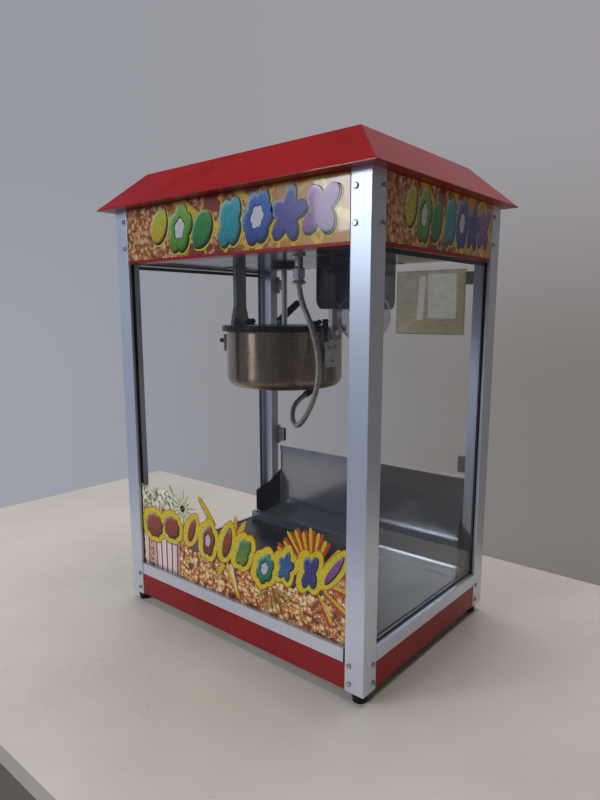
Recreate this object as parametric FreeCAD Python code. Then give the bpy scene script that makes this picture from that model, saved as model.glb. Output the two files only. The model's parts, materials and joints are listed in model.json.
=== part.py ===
"""Countertop popcorn maker: a glazed aluminium cabinet under a hipped red roof, with a tilting kettle inside.

Millimetres. X runs across the front, the front glass faces -Y, the two serving doors face +Y and Z is up.
The origin is on the table, under the centre of the cabinet.
"""
import FreeCAD
import Part
import math
import os

V = FreeCAD.Vector

# ---- cabinet ----
BODY_W = 522.0          # over the outer faces of the posts
BODY_D = 376.0
FOOT_H = 16.0
POST = 31.5             # outer faces of the post profile
POST_WALL = 2.0
POST_LEG = 10.0         # thickness of the leg that the side glass butts against
POST_CORE = 21.5        # depth of the box section behind the front glass
POST_TOP = 699.5
EASED = 1.2             # radius of the posts' outer edges
PANEL_TOP = 57.0        # red base panels end, aluminium rails begin
RAIL_TOP = 77.0
RAIL_DEPTH = 16.0
RAIL_GAP = 2.5          # the front and rear rails stop short of the posts
SHEET = 1.0
PAINTED = 1.2
GLASS = 3.0
GLASS_INSET = 6.0       # outer post face to the outer face of the glass
GLASS_BITE = 3.5        # depth of the glass in the rail's groove
FASCIA_Z = 612.3
CEILING = 613.5         # the ceiling sheet lies on the folded edges of the box fronts
SIGN_Z = 616.5
SIGN_TOP = 698.5

# ---- roof ----
EAVE_W, EAVE_D, EAVE_Z = 560.0, 422.0, 701.0
CREST_W, CREST_D, CREST_Z = 435.0, 303.0, 760.0
FOLD_R = 1.6            # outside radius of the folded hips and crest

# ---- floor of the cabinet ----
DECK_Z = 79.5
LEDGE_Y, LEDGE_Z = 116.0, 96.6
APRON_Y = 184.0
APRON_TOP = 238.0
APRON_X0, APRON_X1 = -219.0, 229.0
HEM_X1 = 205.0

# ---- kettle ----
KX, KY = -55.0, 13.0    # kettle axis
TILT_Z = 500.0          # height of the trunnions
POT_R, POT_WALL = 103.0, 1.5
POT_Z0, POT_TOP = 402.0, 507.2
POT_CORNER = 18.0
LID_R, LID_TOP = 111.0, 509.0
LID_T = 1.5
LID_SKIRT = 10.0
LID_HALF_X = 106.0      # the lids are cut back beside the hangers
LID_EDGE = 9.0          # each lid half starts this far from the axis
LID_PIN_Z, LID_PIN_R = 515.0, 1.5
LID_PIN_X = 81.0        # lid hinge pins, either side of the axis
SLOT_REACH, SLOT_HALF = 46.0, 6.6
RUN = 0.05              # radial running clearance
SHAFT_R = 5.0
SHAFT_END = 509.0
BUSH_R, BUSH_T = 22.0, 8.0          # flange of the shaft's bush, under the ceiling
TRUNNION_R = 4.0
HANGER_IN, HANGER_T = 108.5, 8.0
FLARE_Z = 542.0         # the left hanger widens from here down
LAMP_X, LAMP_Y, BULB_R, BULB_Z = 150.0, -37.0, 40.0, 525.0
SHIELD_X = 103.0
COND_X, COND_Y = 96.0, -126.0       # where the kettle's conduit leaves the ceiling
COND_R = 4.3
COND_TOP = CEILING - 43.0

# ---- doors ----
DOOR_Y0, DOOR_T = 184.0, 4.0
DOOR_Z0, DOOR_Z1 = 240.5, 611.0
DOOR_AXIS_X = 225.3
DOOR_AXIS_Y = 186.0
DOOR_EDGE = 221.0
HINGE_Z = ((243.0, 284.0), (572.0, 606.0))

os.makedirs("parts", exist_ok=True)
HX, HY = BODY_W / 2, BODY_D / 2
PX, PY = HX - POST, HY - POST       # inner faces of the posts


def box(x0, x1, y0, y1, z0, z1):
    """Box from its limits on the three axes."""
    return Part.makeBox(x1 - x0, y1 - y0, z1 - z0, V(x0, y0, z0))


def tube_z(x, y, r, z0, z1, bore=0.0):
    """Upright cylinder, with a bore if one is given."""
    body = Part.makeCylinder(r, z1 - z0, V(x, y, z0))
    if bore:
        body = body.cut(Part.makeCylinder(bore, z1 - z0, V(x, y, z0)))
    return body


def rod(p, q, r):
    """Round bar from one point to another."""
    a, b = V(*p), V(*q)
    return Part.makeCylinder(r, (b - a).Length, a, b - a)


def polygon(points):
    """Flat face through a ring of points."""
    ring = [V(*p) for p in points]
    return Part.Face(Part.makePolygon(ring + ring[:1]))


def offset_line(points, t):
    """The bent line moved sideways by t, with mitred corners."""
    moved = []
    last = len(points) - 1
    for i, (u, v) in enumerate(points):
        sides = []
        for j in (i - 1, i):
            if 0 <= j < last:
                du, dv = points[j + 1][0] - points[j][0], points[j + 1][1] - points[j][1]
                size = math.hypot(du, dv)
                sides.append((-dv / size, du / size))
        nu = sum(s[0] for s in sides) / len(sides)
        nv = sum(s[1] for s in sides) / len(sides)
        scale = t / (nu * nu + nv * nv)
        moved.append((u + nu * scale, v + nv * scale))
    return moved


def bent_sheet(points, t, x0, x1):
    """Folded sheet: a bent line in the Y-Z plane, thickened by t and run from x0 to x1."""
    ring = list(points) + offset_line(points, t)[::-1]
    return polygon([(x0, y, z) for y, z in ring]).extrude(V(x1 - x0, 0, 0))


def fuse(shapes):
    """One clean solid from touching shapes."""
    shapes = list(shapes)
    return shapes[0].multiFuse(shapes[1:]).removeSplitter() if len(shapes) > 1 else shapes[0]


def group(shapes):
    """Several separate solids that share one name."""
    return Part.makeCompound(list(shapes))


def mirror_x(shape):
    """The same shape on the other side of the cabinet."""
    return shape.mirror(V(0, 0, 0), V(1, 0, 0))


def turn(shape, centre, axis, degrees):
    """Copy of a shape turned about an axis."""
    out = shape.copy()
    out.rotate(V(*centre), V(*axis), degrees)
    return out


def part(name, shape):
    """Write one part, and say how much material it holds."""
    shape.exportStep(f"parts/{name}.step")
    print(f"{name:22s} solids {len(shape.Solids):2d}  volume {shape.Volume / 1000:9.2f} cm3  valid {shape.isValid()}")


def at_corners(make):
    """The same piece at the four corners, from its signs along X and Y."""
    return [make(sx, sy) for sx in (-1, 1) for sy in (-1, 1)]


# ------------------------------------------------------------------ frame
def post_section(sx, sy, inset, z0, z1):
    """Bar of the post's profile, drawn in by an inset: a box section with a shorter leg behind the side glass."""
    i = inset
    ring = [(POST - i, i), (i, i), (i, POST - i), (POST_LEG - i, POST - i), (POST_LEG - i, POST_CORE - i),
            (POST - i, POST_CORE - i)]
    corners = [(sx * (HX - u), sy * (HY - v), z0) for u, v in ring]
    return polygon(corners).extrude(V(0, 0, z1 - z0))


def post(sx, sy):
    """Hollow aluminium corner post with eased outer edges and a rebate for the side glass."""
    body = post_section(sx, sy, 0.0, FOOT_H, POST_TOP)
    outer = [e for e in body.Edges if e.Length > 100 and max(abs(abs(e.CenterOfMass.x) - HX),
                                                             abs(abs(e.CenterOfMass.y) - HY)) < POST + 0.1
             and (abs(abs(e.CenterOfMass.x) - HX) < 0.1 or abs(abs(e.CenterOfMass.y) - HY) < 0.1)]
    body = body.makeFillet(EASED, outer)
    return body.cut(post_section(sx, sy, POST_WALL, FOOT_H, POST_TOP))


def foot(sx, sy):
    """Tapered rubber foot with a plug that fills the post's lower end."""
    cx, cy = sx * (HX - POST / 2), sy * (HY - POST / 2)
    cone = Part.makeCone(10.0, 12.6, FOOT_H, V(cx, cy, 0))
    return cone.fuse(post_section(sx, sy, POST_WALL, FOOT_H, FOOT_H + 8)).removeSplitter()


def post_keepouts(gap):
    """The room the four posts take, with a gap round them."""
    return [
        box(*sorted((sx * (PX - gap), sx * (HX + 5))), *sorted((sy * (PY - gap), sy * (HY + 5))), 0, 705)
        for sx in (-1, 1) for sy in (-1, 1)
    ]


def clear_of_posts(shape, gap=0.0):
    """A sheet with its corners notched round the posts."""
    for keep in post_keepouts(gap):
        shape = shape.cut(keep)
    return shape


def end_panel(sy):
    """Red base panel across the front or the rear, with a flange under the rail and one over the floor pan."""
    y0 = HY - 1.0
    sheet = [(y0 - 14, PANEL_TOP - PAINTED), (y0 - PAINTED, PANEL_TOP - PAINTED),
             (y0 - PAINTED, FOOT_H + SHEET + PAINTED), (y0 - 14, FOOT_H + SHEET + PAINTED)]
    body = bent_sheet(sheet, PAINTED, -PX, PX)
    return body if sy > 0 else body.mirror(V(0, 0, 0), V(0, 1, 0))


def side_panel(sx):
    """Red base panel down one side, folded like the front one."""
    y0 = HX - 1.0
    sheet = [(y0 - 14, PANEL_TOP - PAINTED), (y0 - PAINTED, PANEL_TOP - PAINTED),
             (y0 - PAINTED, FOOT_H + SHEET + PAINTED), (y0 - 14, FOOT_H + SHEET + PAINTED)]
    body = turn(bent_sheet(sheet, PAINTED, -PY, PY), (0, 0, 0), (0, 0, 1), -90)
    return body if sx > 0 else mirror_x(body)


def rail(length, depth_at):
    """Aluminium rail along X with its outer face at -depth_at and a groove on top for the glass."""
    y0 = -depth_at
    body = box(-length / 2, length / 2, y0, y0 + RAIL_DEPTH, PANEL_TOP, RAIL_TOP)
    groove_y = y0 + GLASS_INSET
    body = body.cut(box(-length / 2, length / 2, groove_y - 0.1, groove_y + GLASS + 0.1,
                        RAIL_TOP - GLASS_BITE, RAIL_TOP))
    hollow = box(-length / 2, length / 2, y0 + 2, y0 + RAIL_DEPTH - 2, PANEL_TOP + 2, RAIL_TOP - GLASS_BITE - 2)
    return body.cut(hollow)


for sx, side in ((-1, "left"), (1, "right")):
    for sy, end in ((-1, "front"), (1, "rear")):
        part(f"post_{end}_{side}", post(sx, sy))
part("feet", group(at_corners(foot)))

floor = clear_of_posts(box(-HX + 2.5, HX - 2.5, -HY + 2.5, HY - 2.5, FOOT_H, FOOT_H + SHEET))
part("base_pan", floor)
part("base_panels_ends", group([end_panel(-1), end_panel(1)]))
part("base_panels_side", group([side_panel(-1), side_panel(1)]))
end_rail = rail(2 * (PX - RAIL_GAP), HY)
part("rails_ends", group([end_rail, turn(end_rail, (0, 0, 0), (0, 0, 1), 180)]))
side_rail = turn(rail(2 * PY, HX), (0, 0, 0), (0, 0, 1), 90)
part("rails_side", group([side_rail, mirror_x(side_rail)]))

# ------------------------------------------------------------------ glass
GLASS_Z0, GLASS_Z1 = RAIL_TOP - GLASS_BITE + 0.3, 611.0
SEAL_W = 1.6
TOP_SEAL = 6.0          # depth of the strip that holds the side glass under the box front
gy = -HY + GLASS_INSET
gx = HX - GLASS_INSET
part("glass_front", box(-PX + SEAL_W, PX - SEAL_W, gy, gy + GLASS, GLASS_Z0, GLASS_Z1))
glass_right = box(gx - GLASS, gx, -PY + SEAL_W, PY - SEAL_W, GLASS_Z0, GLASS_Z1)
part("glass_right", glass_right)
part("glass_left", mirror_x(glass_right))


def seals():
    """Black rubber strips between glass and posts, and along the inside of the side glass at its foot and its top."""
    out = []
    for sx in (-1, 1):
        out.append(box(*sorted((sx * (PX - SEAL_W), sx * PX)), gy - 1, gy + GLASS + 1, RAIL_TOP, GLASS_Z1))
        for sy in (-1, 1):
            out.append(box(*sorted((sx * (gx + 1), sx * (gx - GLASS - 1))), *sorted((sy * (PY - SEAL_W), sy * PY)),
                           RAIL_TOP, GLASS_Z1))
        for z0, z1 in ((RAIL_TOP, RAIL_TOP + 2), (GLASS_Z1 - TOP_SEAL, GLASS_Z1)):
            out.append(box(*sorted((sx * (gx - GLASS), sx * (gx - GLASS - 2))), -PY + SEAL_W, PY - SEAL_W, z0, z1))
    return out


part("glass_seals", group(seals()))

# ------------------------------------------------------------------ floor of the cabinet
IN_X = HX - RAIL_DEPTH - 0.5
IN_Y = HY - RAIL_DEPTH - 0.5
deck = box(-IN_X, IN_X, -IN_Y, LEDGE_Y - SHEET, FOOT_H + SHEET, DECK_Z)
deck = deck.cut(box(-IN_X + SHEET, IN_X - SHEET, -IN_Y + SHEET, LEDGE_Y - 2 * SHEET, FOOT_H, DECK_Z - SHEET))
part("deck", clear_of_posts(deck, 0.5))

LEDGE_BACK = LEDGE_Y + 9
TROUGH_Z = 84.0
TROUGH_BACK = LEDGE_BACK + 14
SLOPE_TOP = 107.5
trough_line = [(LEDGE_Y, FOOT_H + SHEET), (LEDGE_Y, LEDGE_Z - SHEET), (LEDGE_BACK, LEDGE_Z - SHEET),
               (LEDGE_BACK, TROUGH_Z - SHEET), (TROUGH_BACK, TROUGH_Z - SHEET), (APRON_Y - 0.3, SLOPE_TOP - SHEET)]
trough = bent_sheet(trough_line, SHEET, -IN_X, IN_X)
part("kernel_trough", clear_of_posts(trough, 0.5))

apron = box(APRON_X0, APRON_X1, APRON_Y, APRON_Y + SHEET, RAIL_TOP, APRON_TOP)
apron = apron.cut(box(APRON_X0 - 1, APRON_X1 + 1, HY - GLASS_INSET - GLASS - 0.2, HY - GLASS_INSET + 0.2,
                      RAIL_TOP - 5, RAIL_TOP))
hem = box(APRON_X0, HEM_X1, APRON_Y - 2.4, APRON_Y, APRON_TOP - 9, APRON_TOP)
part("rear_apron", apron.fuse(hem).removeSplitter())


def floor_z(y):
    """Height of the trough's sloping floor at a distance y."""
    if y < TROUGH_BACK:
        return TROUGH_Z
    return TROUGH_Z + (SLOPE_TOP - TROUGH_Z) * (y - TROUGH_BACK) / (APRON_Y - 0.3 - TROUGH_BACK)


def wing(sx, inner):
    """Bent cheek that closes the gap between the apron and the side glass, with a lip along the glass."""
    plan = [(inner, APRON_Y - 0.4), (sx * (PX - 1.6), PY - 1.6), (sx * 242.5, 144.0), (sx * 242.5, 129.0)]
    tops = (186.0, 158.0, 147.0, 140.0)
    lift = 2.0
    lows = [floor_z(y) + lift for x, y in plan[:3]] + [TROUGH_Z + lift + 12]
    across = [plan[0][1] + 3, plan[1][1], plan[2][1], plan[3][1] - 3]
    folded = polygon([(x, y, 0) for x, y in plan + offset_line(plan, sx * SHEET)[::-1]]).extrude(V(0, 0, 250))
    outline = list(zip(across, lows)) + list(zip(across, tops))[::-1]
    return folded.common(polygon([(-HX, y, z) for y, z in outline]).extrude(V(2 * HX, 0, 0)))


part("apron_wings", group([wing(-1, APRON_X0), wing(1, APRON_X1 - 4)]))

# ------------------------------------------------------------------ top box
STEP_Y = 127.0


def ceiling():
    """Polished ceiling sheet, stepped up behind the kettle to leave room for the doors' top edges."""
    line = [(-HY + 12, CEILING), (STEP_Y, CEILING), (STEP_Y, CEILING + 8), (HY - 14, CEILING + 8)]
    sheet = clear_of_posts(bent_sheet(line, SHEET, -HX + 11.5, HX - 11.5), 0.5)
    for x, y, r in ((KX, KY, 7.5), (LAMP_X, LAMP_Y, 24.5), (COND_X, COND_Y, 6.5)):
        sheet = sheet.cut(tube_z(x, y, r, CEILING - 5, CEILING + 5))
    return sheet


part("ceiling_plate", ceiling())


def fascia_front():
    """Red box front: a sheet between the front posts with a folded lower edge that carries the ceiling."""
    y0 = HY - 1.0
    line = [(y0 - 30, FASCIA_Z + PAINTED), (y0 - PAINTED, FASCIA_Z + PAINTED), (y0 - PAINTED, POST_TOP)]
    body = bent_sheet(line, -PAINTED, -PX, PX)
    return body.mirror(V(0, 0, 0), V(0, 1, 0))


def fascia_side(sx):
    """Red box side, folded like the front."""
    y0 = HX - 1.0
    line = [(y0 - 22, FASCIA_Z + PAINTED), (y0 - PAINTED, FASCIA_Z + PAINTED), (y0 - PAINTED, POST_TOP)]
    body = turn(bent_sheet(line, -PAINTED, -PY, PY), (0, 0, 0), (0, 0, 1), -90)
    return body if sx > 0 else mirror_x(body)


part("fascia_front", fascia_front())
part("fascias_side", group([fascia_side(-1), fascia_side(1)]))
SIGN_T = 0.5
part("sign_front", box(-PX + 0.8, PX - 0.8, -HY + 1 - SIGN_T, -HY + 1, SIGN_Z, SIGN_TOP))
side_sign = box(HX - 1, HX - 1 + SIGN_T, -PY + 0.8, PY - 0.8, SIGN_Z, SIGN_TOP)
part("signs_side", group([mirror_x(side_sign), side_sign]))
DECAL_TOP = [(-1.0, 186), (-0.975, 231), (-0.83, 229), (-0.68, 236), (-0.62, 220), (-0.37, 213), (-0.44, 195),
             (-0.36, 213), (-0.33, 234), (-0.2, 203), (0.04, 205), (0.06, 219), (0.1, 198), (0.17, 216), (0.14, 192),
             (0.24, 178), (0.3, 186), (0.42, 186), (0.5, 203), (0.46, 219), (0.58, 206), (0.64, 228), (0.72, 210),
             (0.86, 236), (0.88, 214), (1.0, 212)]


def decal():
    """Printed film on the lower part of the front glass, cut out along the tops of its pictures."""
    half = PX - SEAL_W
    ring = [(-half, RAIL_TOP + 0.2)] + [(u * half, z) for u, z in DECAL_TOP] + [(half, RAIL_TOP + 0.2)]
    return polygon([(x, gy - 0.3, z) for x, z in ring]).extrude(V(0, 0.3, 0))


part("front_decal", decal())


def roof():
    """Thin hipped roof with a flat crest, and a flat return under the eaves that rests on the posts."""
    def hip(w0, d0, z0, w1, d1, z1):
        rings = [Part.makePolygon([V(sx * w / 2, sy * d / 2, z) for sx, sy in
                                   ((-1, -1), (1, -1), (1, 1), (-1, 1), (-1, -1))])
                 for w, d, z in ((w0, d0, z0), (w1, d1, z1))]
        return Part.makeLoft(rings, True, True)

    t = PAINTED
    outer = hip(EAVE_W, EAVE_D, EAVE_Z, CREST_W, CREST_D, CREST_Z)
    folds = [e for e in outer.Edges if e.BoundBox.ZMax > CREST_Z - 1]
    outer = outer.makeFillet(FOLD_R, folds)
    inner = hip(EAVE_W - 4 * t, EAVE_D - 4 * t, EAVE_Z, CREST_W - 2 * t, CREST_D - 2 * t, CREST_Z - t)
    shell = outer.cut(inner)
    rim = box(-EAVE_W / 2, EAVE_W / 2, -EAVE_D / 2, EAVE_D / 2, POST_TOP, EAVE_Z)
    rim = rim.cut(box(-HX + 40, HX - 40, -HY + 40, HY - 40, POST_TOP - 1, EAVE_Z + 1))
    return fuse([shell, rim])


part("roof", roof())


def pan_screw(centre, normal):
    """Pan-head screw with a cross recess, lying on a face with the given outward normal."""
    n = V(*normal)
    c = V(*centre)
    head = Part.makeCylinder(3.9, 2.2, c, n)
    head = head.makeFillet(1.2, [e for e in head.Edges if (e.CenterOfMass - c).Length > 2])
    side = V(0, 0, 1)
    other = n.cross(side)
    top = c + n * 1.2
    for a, b in ((side, other), (other, side)):
        corner = top - a * 2.4 - b * 0.45
        slot = polygon([tuple(corner), tuple(corner + a * 4.8), tuple(corner + a * 4.8 + b * 0.9),
                        tuple(corner + b * 0.9)]).extrude(n * 2)
        head = head.cut(slot)
    return head


SCREW_ROWS = (28.0, 55.0, 637.0, 680.0)
SCREW_INSET = 24.0


def post_screws():
    """Screws in pairs at both ends of every outer post face."""
    out = []
    for z in SCREW_ROWS:
        for sx in (-1, 1):
            for sy in (-1, 1):
                out.append(pan_screw((sx * (HX - SCREW_INSET), sy * HY, z), (0, sy, 0)))
                out.append(pan_screw((sx * HX, sy * (HY - SCREW_INSET), z), (sx, 0, 0)))
    return out


part("post_screws", group(post_screws()))

# ------------------------------------------------------------------ drive
BRACKET_Z = 632.0


def motor_bracket():
    """Bridge over the shaft that carries the gear motor above the ceiling."""
    line = [(KY - 52, CEILING + SHEET + 2), (KY - 40, CEILING + SHEET + 2), (KY - 40, BRACKET_Z),
            (KY + 40, BRACKET_Z), (KY + 40, CEILING + SHEET + 2), (KY + 52, CEILING + SHEET + 2)]
    body = bent_sheet(line, -2.0, KX - 32, KX + 32)
    return body.cut(tube_z(KX, KY, SHAFT_R + 4, BRACKET_Z - 5, BRACKET_Z + 5))


def gear_motor():
    """Round gearbox with a motor can on top and a terminal cap."""
    boxed = tube_z(KX, KY, 37, BRACKET_Z, BRACKET_Z + 26, SHAFT_R + RUN)
    can = tube_z(KX, KY, 29, BRACKET_Z + 26, 692)
    return fuse([boxed, can])


part("motor_bracket", motor_bracket())
part("gear_motor", gear_motor())
bush = fuse([tube_z(KX, KY, BUSH_R, CEILING - BUSH_T, CEILING, SHAFT_R + RUN),
             tube_z(KX, KY, 7.3, CEILING, CEILING + 8, SHAFT_R + RUN)])
part("shaft_bush", bush)
part("drive_shaft", tube_z(KX, KY, SHAFT_R, SHAFT_END, BRACKET_Z + 24))

# ------------------------------------------------------------------ lamp
def bulb():
    """Clear globe bulb with a thin wall, open where it meets its cap."""
    wall = 1.0
    neck_r, neck_z = 13.0, CEILING + 12

    def outline(r_ball, r_neck):
        dz = math.sqrt(r_ball ** 2 - (r_neck + 9) ** 2)
        mid = math.radians(-20)
        foot_pt = V(0, 0, BULB_Z - r_ball)
        mid_pt = V(r_ball * math.cos(mid), 0, BULB_Z + r_ball * math.sin(mid))
        top_pt = V(r_neck + 9, 0, BULB_Z + dz)
        ball = Part.Arc(foot_pt, mid_pt, top_pt).toShape()
        blend = Part.Arc(top_pt, V(r_neck + 2.2, 0, BULB_Z + dz + 16), V(r_neck, 0, BULB_Z + dz + 34)).toShape()
        neck = Part.makeLine(V(r_neck, 0, BULB_Z + dz + 34), V(r_neck, 0, neck_z))
        return [ball, blend, neck]

    outer = outline(BULB_R, neck_r)
    inner = outline(BULB_R - wall, neck_r - wall)
    rim = Part.makeLine(V(neck_r, 0, neck_z), V(neck_r - wall, 0, neck_z))
    axis = Part.makeLine(V(0, 0, BULB_Z - BULB_R), V(0, 0, BULB_Z - BULB_R + wall))
    wire = Part.Wire(Part.__sortEdges__(outer + [rim] + inner + [axis]))
    glass = Part.Face(wire).revolve(V(0, 0, 0), V(0, 0, 1), 360)
    glass.translate(V(LAMP_X, LAMP_Y, 0))
    return glass


part("lamp_bulb", bulb())
holder = fuse([tube_z(LAMP_X, LAMP_Y, 23.5, CEILING - 14, CEILING + 34, 13.3),
               tube_z(LAMP_X, LAMP_Y, 30, CEILING + SHEET, CEILING + SHEET + 3, 23.5)])
cap = tube_z(LAMP_X, LAMP_Y, 23.5, CEILING + 34, CEILING + 37)
part("lamp_holder", fuse([holder, cap]))


def lamp_shield():
    """Polished screen between kettle and lamp: a hanging plate with round lower corners and a folded top."""
    y0, y1, z0, r = -95.0, 129.0 - 4, 536.0, 14.0
    plate = box(SHIELD_X, SHIELD_X + SHEET, y0, y1, z0, CEILING)
    low = [e for e in plate.Edges if abs(e.CenterOfMass.z - z0) < 0.1 and e.Length < 2]
    plate = plate.makeFillet(r, low)
    flange = box(SHIELD_X, SHIELD_X + 18, y0, y1, CEILING - SHEET, CEILING)
    return fuse([plate, flange])


part("lamp_shield", lamp_shield())

# ------------------------------------------------------------------ hangers
def hanger(sx, flare):
    """Flat bar down from the ceiling to the trunnion, with a folded foot at the top and a wider lower end."""
    inner = KX + sx * HANGER_IN
    outer = inner + sx * HANGER_T
    top = CEILING
    half, wide = 13.0, 13.0 + flare
    ring = [(KY - half, top), (KY + half, top), (KY + half, FLARE_Z), (KY + wide, 512.0), (KY + wide, 496.0),
            (KY + 9, 486.0), (KY - 9, 486.0), (KY - wide, 496.0), (KY - wide, 512.0), (KY - half, FLARE_Z)]
    bar = polygon([(inner, y, z) for y, z in ring]).extrude(V(outer - inner, 0, 0))
    foot_plate = box(*sorted((inner, outer + sx * 14)), KY - 20, KY + 20, top - 2, top)
    body = fuse([bar, foot_plate])
    body = body.cut(rod((inner - sx, KY, TILT_Z), (outer + sx, KY, TILT_Z), TRUNNION_R + RUN))
    return body


part("hanger_left", hanger(-1, 8.0))
part("hanger_right", hanger(1, 0.0))

# ------------------------------------------------------------------ kettle
def pot():
    """Deep round pan with a rounded foot, drawn from one sheet."""
    def cup(r, z0, z1, corner):
        body = tube_z(KX, KY, r, z0, z1)
        foot_edge = [e for e in body.Edges if abs(e.CenterOfMass.z - z0) < 0.1 and e.Length > 50]
        return body.makeFillet(corner, foot_edge)

    w = POT_WALL
    return cup(POT_R, POT_Z0, POT_TOP, POT_CORNER).cut(cup(POT_R - w, POT_Z0 + w, POT_TOP + 1, POT_CORNER - w))


part("kettle_pot", pot())
HEATER_R, HEATER_Z = 71.0, POT_Z0 - 2.5
GLAND_R = 5.8
GLAND_IN = V(10.0, -6.0, 391.2)            # where the conduit enters the gland
GLAND_RUN = V(-1.0, 34.0, 11.2)            # along the conduit's last run
GLAND_RUN.normalize()
heater = tube_z(KX, KY, HEATER_R, HEATER_Z, POT_Z0)
gland = rod(GLAND_IN, GLAND_IN + GLAND_RUN * 19, GLAND_R)
gland = gland.cut(box(-20, 40, -20, 40, HEATER_Z, HEATER_Z + 25))
gland_foot = box(GLAND_IN.x - 4, GLAND_IN.x + 4, GLAND_IN.y + 6, GLAND_IN.y + 17, GLAND_IN.z, HEATER_Z)
part("heater_plate", fuse([heater, gland_foot, gland]))


def crossbar():
    """Bar across the mouth of the pot, with a ring in the middle that steadies the stirrer."""
    reach = POT_R - POT_WALL - 0.05
    bar = box(KX - reach, KX + reach, KY - 8, KY + 8, TILT_Z - 1, TILT_Z + 2)
    bar = bar.common(tube_z(KX, KY, reach, TILT_Z - 5, TILT_Z + 5))
    hub = tube_z(KX, KY, 8.5, TILT_Z - 14, TILT_Z + 1)
    return fuse([bar, hub]).cut(tube_z(KX, KY, 4.0 + RUN, TILT_Z - 20, TILT_Z + 10))


part("kettle_crossbar", crossbar())


def half_lid(sy):
    """Half of the kettle's lid: a flat top with a turned-down rim, cut straight at the middle and at the hangers."""
    disc = tube_z(KX, KY, LID_R, LID_TOP - LID_SKIRT, LID_TOP)
    disc = disc.makeFillet(2.0, [e for e in disc.Edges if abs(e.CenterOfMass.z - LID_TOP) < 0.1])
    disc = disc.cut(tube_z(KX, KY, LID_R - LID_T, LID_TOP - LID_SKIRT - 1, LID_TOP - LID_T))
    near, far = sorted((KY + sy * LID_EDGE, KY + sy * (LID_R + 5)))
    body = disc.common(box(KX - LID_HALF_X, KX + LID_HALF_X, near, far, 0, 700))
    hem_gap = 24.0
    side_cut = [box(*sorted((KX + sx * (LID_HALF_X - 3), KX + sx * (LID_R + 3))),
                    *sorted((KY, KY + sy * hem_gap)), 0, LID_TOP - LID_T) for sx in (-1, 1)]
    for piece in side_cut:
        body = body.cut(piece)
    return body


def rear_lid():
    """Rear half, fixed to the pot, with a slot that lets the kettle tip past the drive shaft."""
    body = half_lid(1)
    body = body.cut(box(KX - SLOT_HALF, KX + SLOT_HALF, KY, KY + SLOT_REACH, 480, 520))
    for sx in (-1, 1):
        x = KX + sx * (LID_PIN_X + 9)
        ear = box(x - 1, x + 1, KY - 4, KY + 16, LID_TOP, LID_PIN_Z + 5)
        strap = box(x - 1, x + 1, KY + LID_EDGE, KY + 16, LID_TOP - 1, LID_TOP)
        body = body.fuse([ear, strap])
        body = body.fuse(rod((x, KY, LID_PIN_Z), (x - sx * 18, KY, LID_PIN_Z), LID_PIN_R))
    grip_r = POT_R - POT_WALL - 0.05
    clip = box(KX - 12, KX + 12, KY + 95, KY + POT_R, LID_TOP - 14, LID_TOP - LID_T)
    return body.fuse(clip.common(tube_z(KX, KY, grip_r, 480, 520))).removeSplitter()


def front_lid():
    """Front half, hinged on two pins above the bar, that swings up when corn pushes it."""
    body = half_lid(-1)
    body = body.cut(tube_z(KX, KY, 12.5, 480, 520))
    for sx in (-1, 1):
        x = KX + sx * (LID_PIN_X - 2)
        eye = rod((x - 2, KY, LID_PIN_Z), (x + 2, KY, LID_PIN_Z), 4.0)
        arm = box(x - 2, x + 2, KY - 17, KY - 1.2, LID_TOP, LID_PIN_Z + 2)
        tab = eye.fuse(arm).cut(rod((x - 3, KY, LID_PIN_Z), (x + 3, KY, LID_PIN_Z), LID_PIN_R + RUN))
        body = body.fuse(tab)
    return body.removeSplitter()


part("lid_rear", rear_lid())
part("lid_front", front_lid())


def trunnion(sx):
    """Stepped bracket on the side of the pot: a screwed plate, a neck and the pivot bolt through the hanger."""
    x_in, x_out = KX + sx * 92.0, KX + sx * 106.2
    low = box(*sorted((x_in, x_out)), KY - 16, KY + 24, 440, 482)
    neck = box(*sorted((KX + sx * 103.2, x_out)), KY - 8, KY + 8, 480, TILT_Z + 7)
    body = low.cut(tube_z(KX, KY, POT_R, 400, 600))
    thin = box(*sorted((x_in - sx * 2, KX + sx * 103.4)), KY - 17, KY + 25, 448, 474)
    body = fuse([body.cut(thin), neck])
    pin = rod((x_out, KY, TILT_Z), (KX + sx * 119.0, KY, TILT_Z), TRUNNION_R)
    washer = rod((KX + sx * 117.0, KY, TILT_Z), (KX + sx * 118.5, KY, TILT_Z), 8.0)
    ring = [(KX + sx * 118.5, KY + 6.6 * math.cos(math.pi / 3 * k), TILT_Z + 6.6 * math.sin(math.pi / 3 * k))
            for k in range(6)]
    nut = polygon(ring).extrude(V(sx * 5, 0, 0))
    return fuse([body, pin, washer, nut])


def latch_arm():
    """Thin strap from the left trunnion plate, out under the hanger to the latch knob."""
    x0, x1 = KX - 120.0, KX - 106.2
    strap = box(x0, x1, KY - 33, KY - 20, 466, 468)
    hook = box(KX - 106.2, KX - 104.7, KY - 33, KY - 16, 460, 474)
    plate = box(x0 - 1.5, x0, KY - 35, KY - 17, 460, 491)
    return fuse([strap, hook, plate])


brackets = [fuse([trunnion(-1), latch_arm()]), trunnion(1)]
part("trunnion_brackets", group(brackets))
knob_y, knob_z = KY - 26.0, 479.0
knob_x = KX - 121.5
part("latch_knob", fuse([rod((knob_x, knob_y, knob_z), (knob_x - 9, knob_y, knob_z), 2.2),
                         rod((knob_x - 9, knob_y, knob_z), (knob_x - 17, knob_y, knob_z), 4.0)]))


def plate_screws():
    """Three screws on each trunnion plate."""
    out = []
    for sx in (-1, 1):
        x = KX + sx * 106.2
        for y, z in ((KY - 6, 472.0), (KY + 8, 474.0), (KY + 2, 449.0)):
            out.append(pan_screw((x, y, z), (sx, 0, 0)))
    return out


part("kettle_screws", group(plate_screws()))

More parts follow.
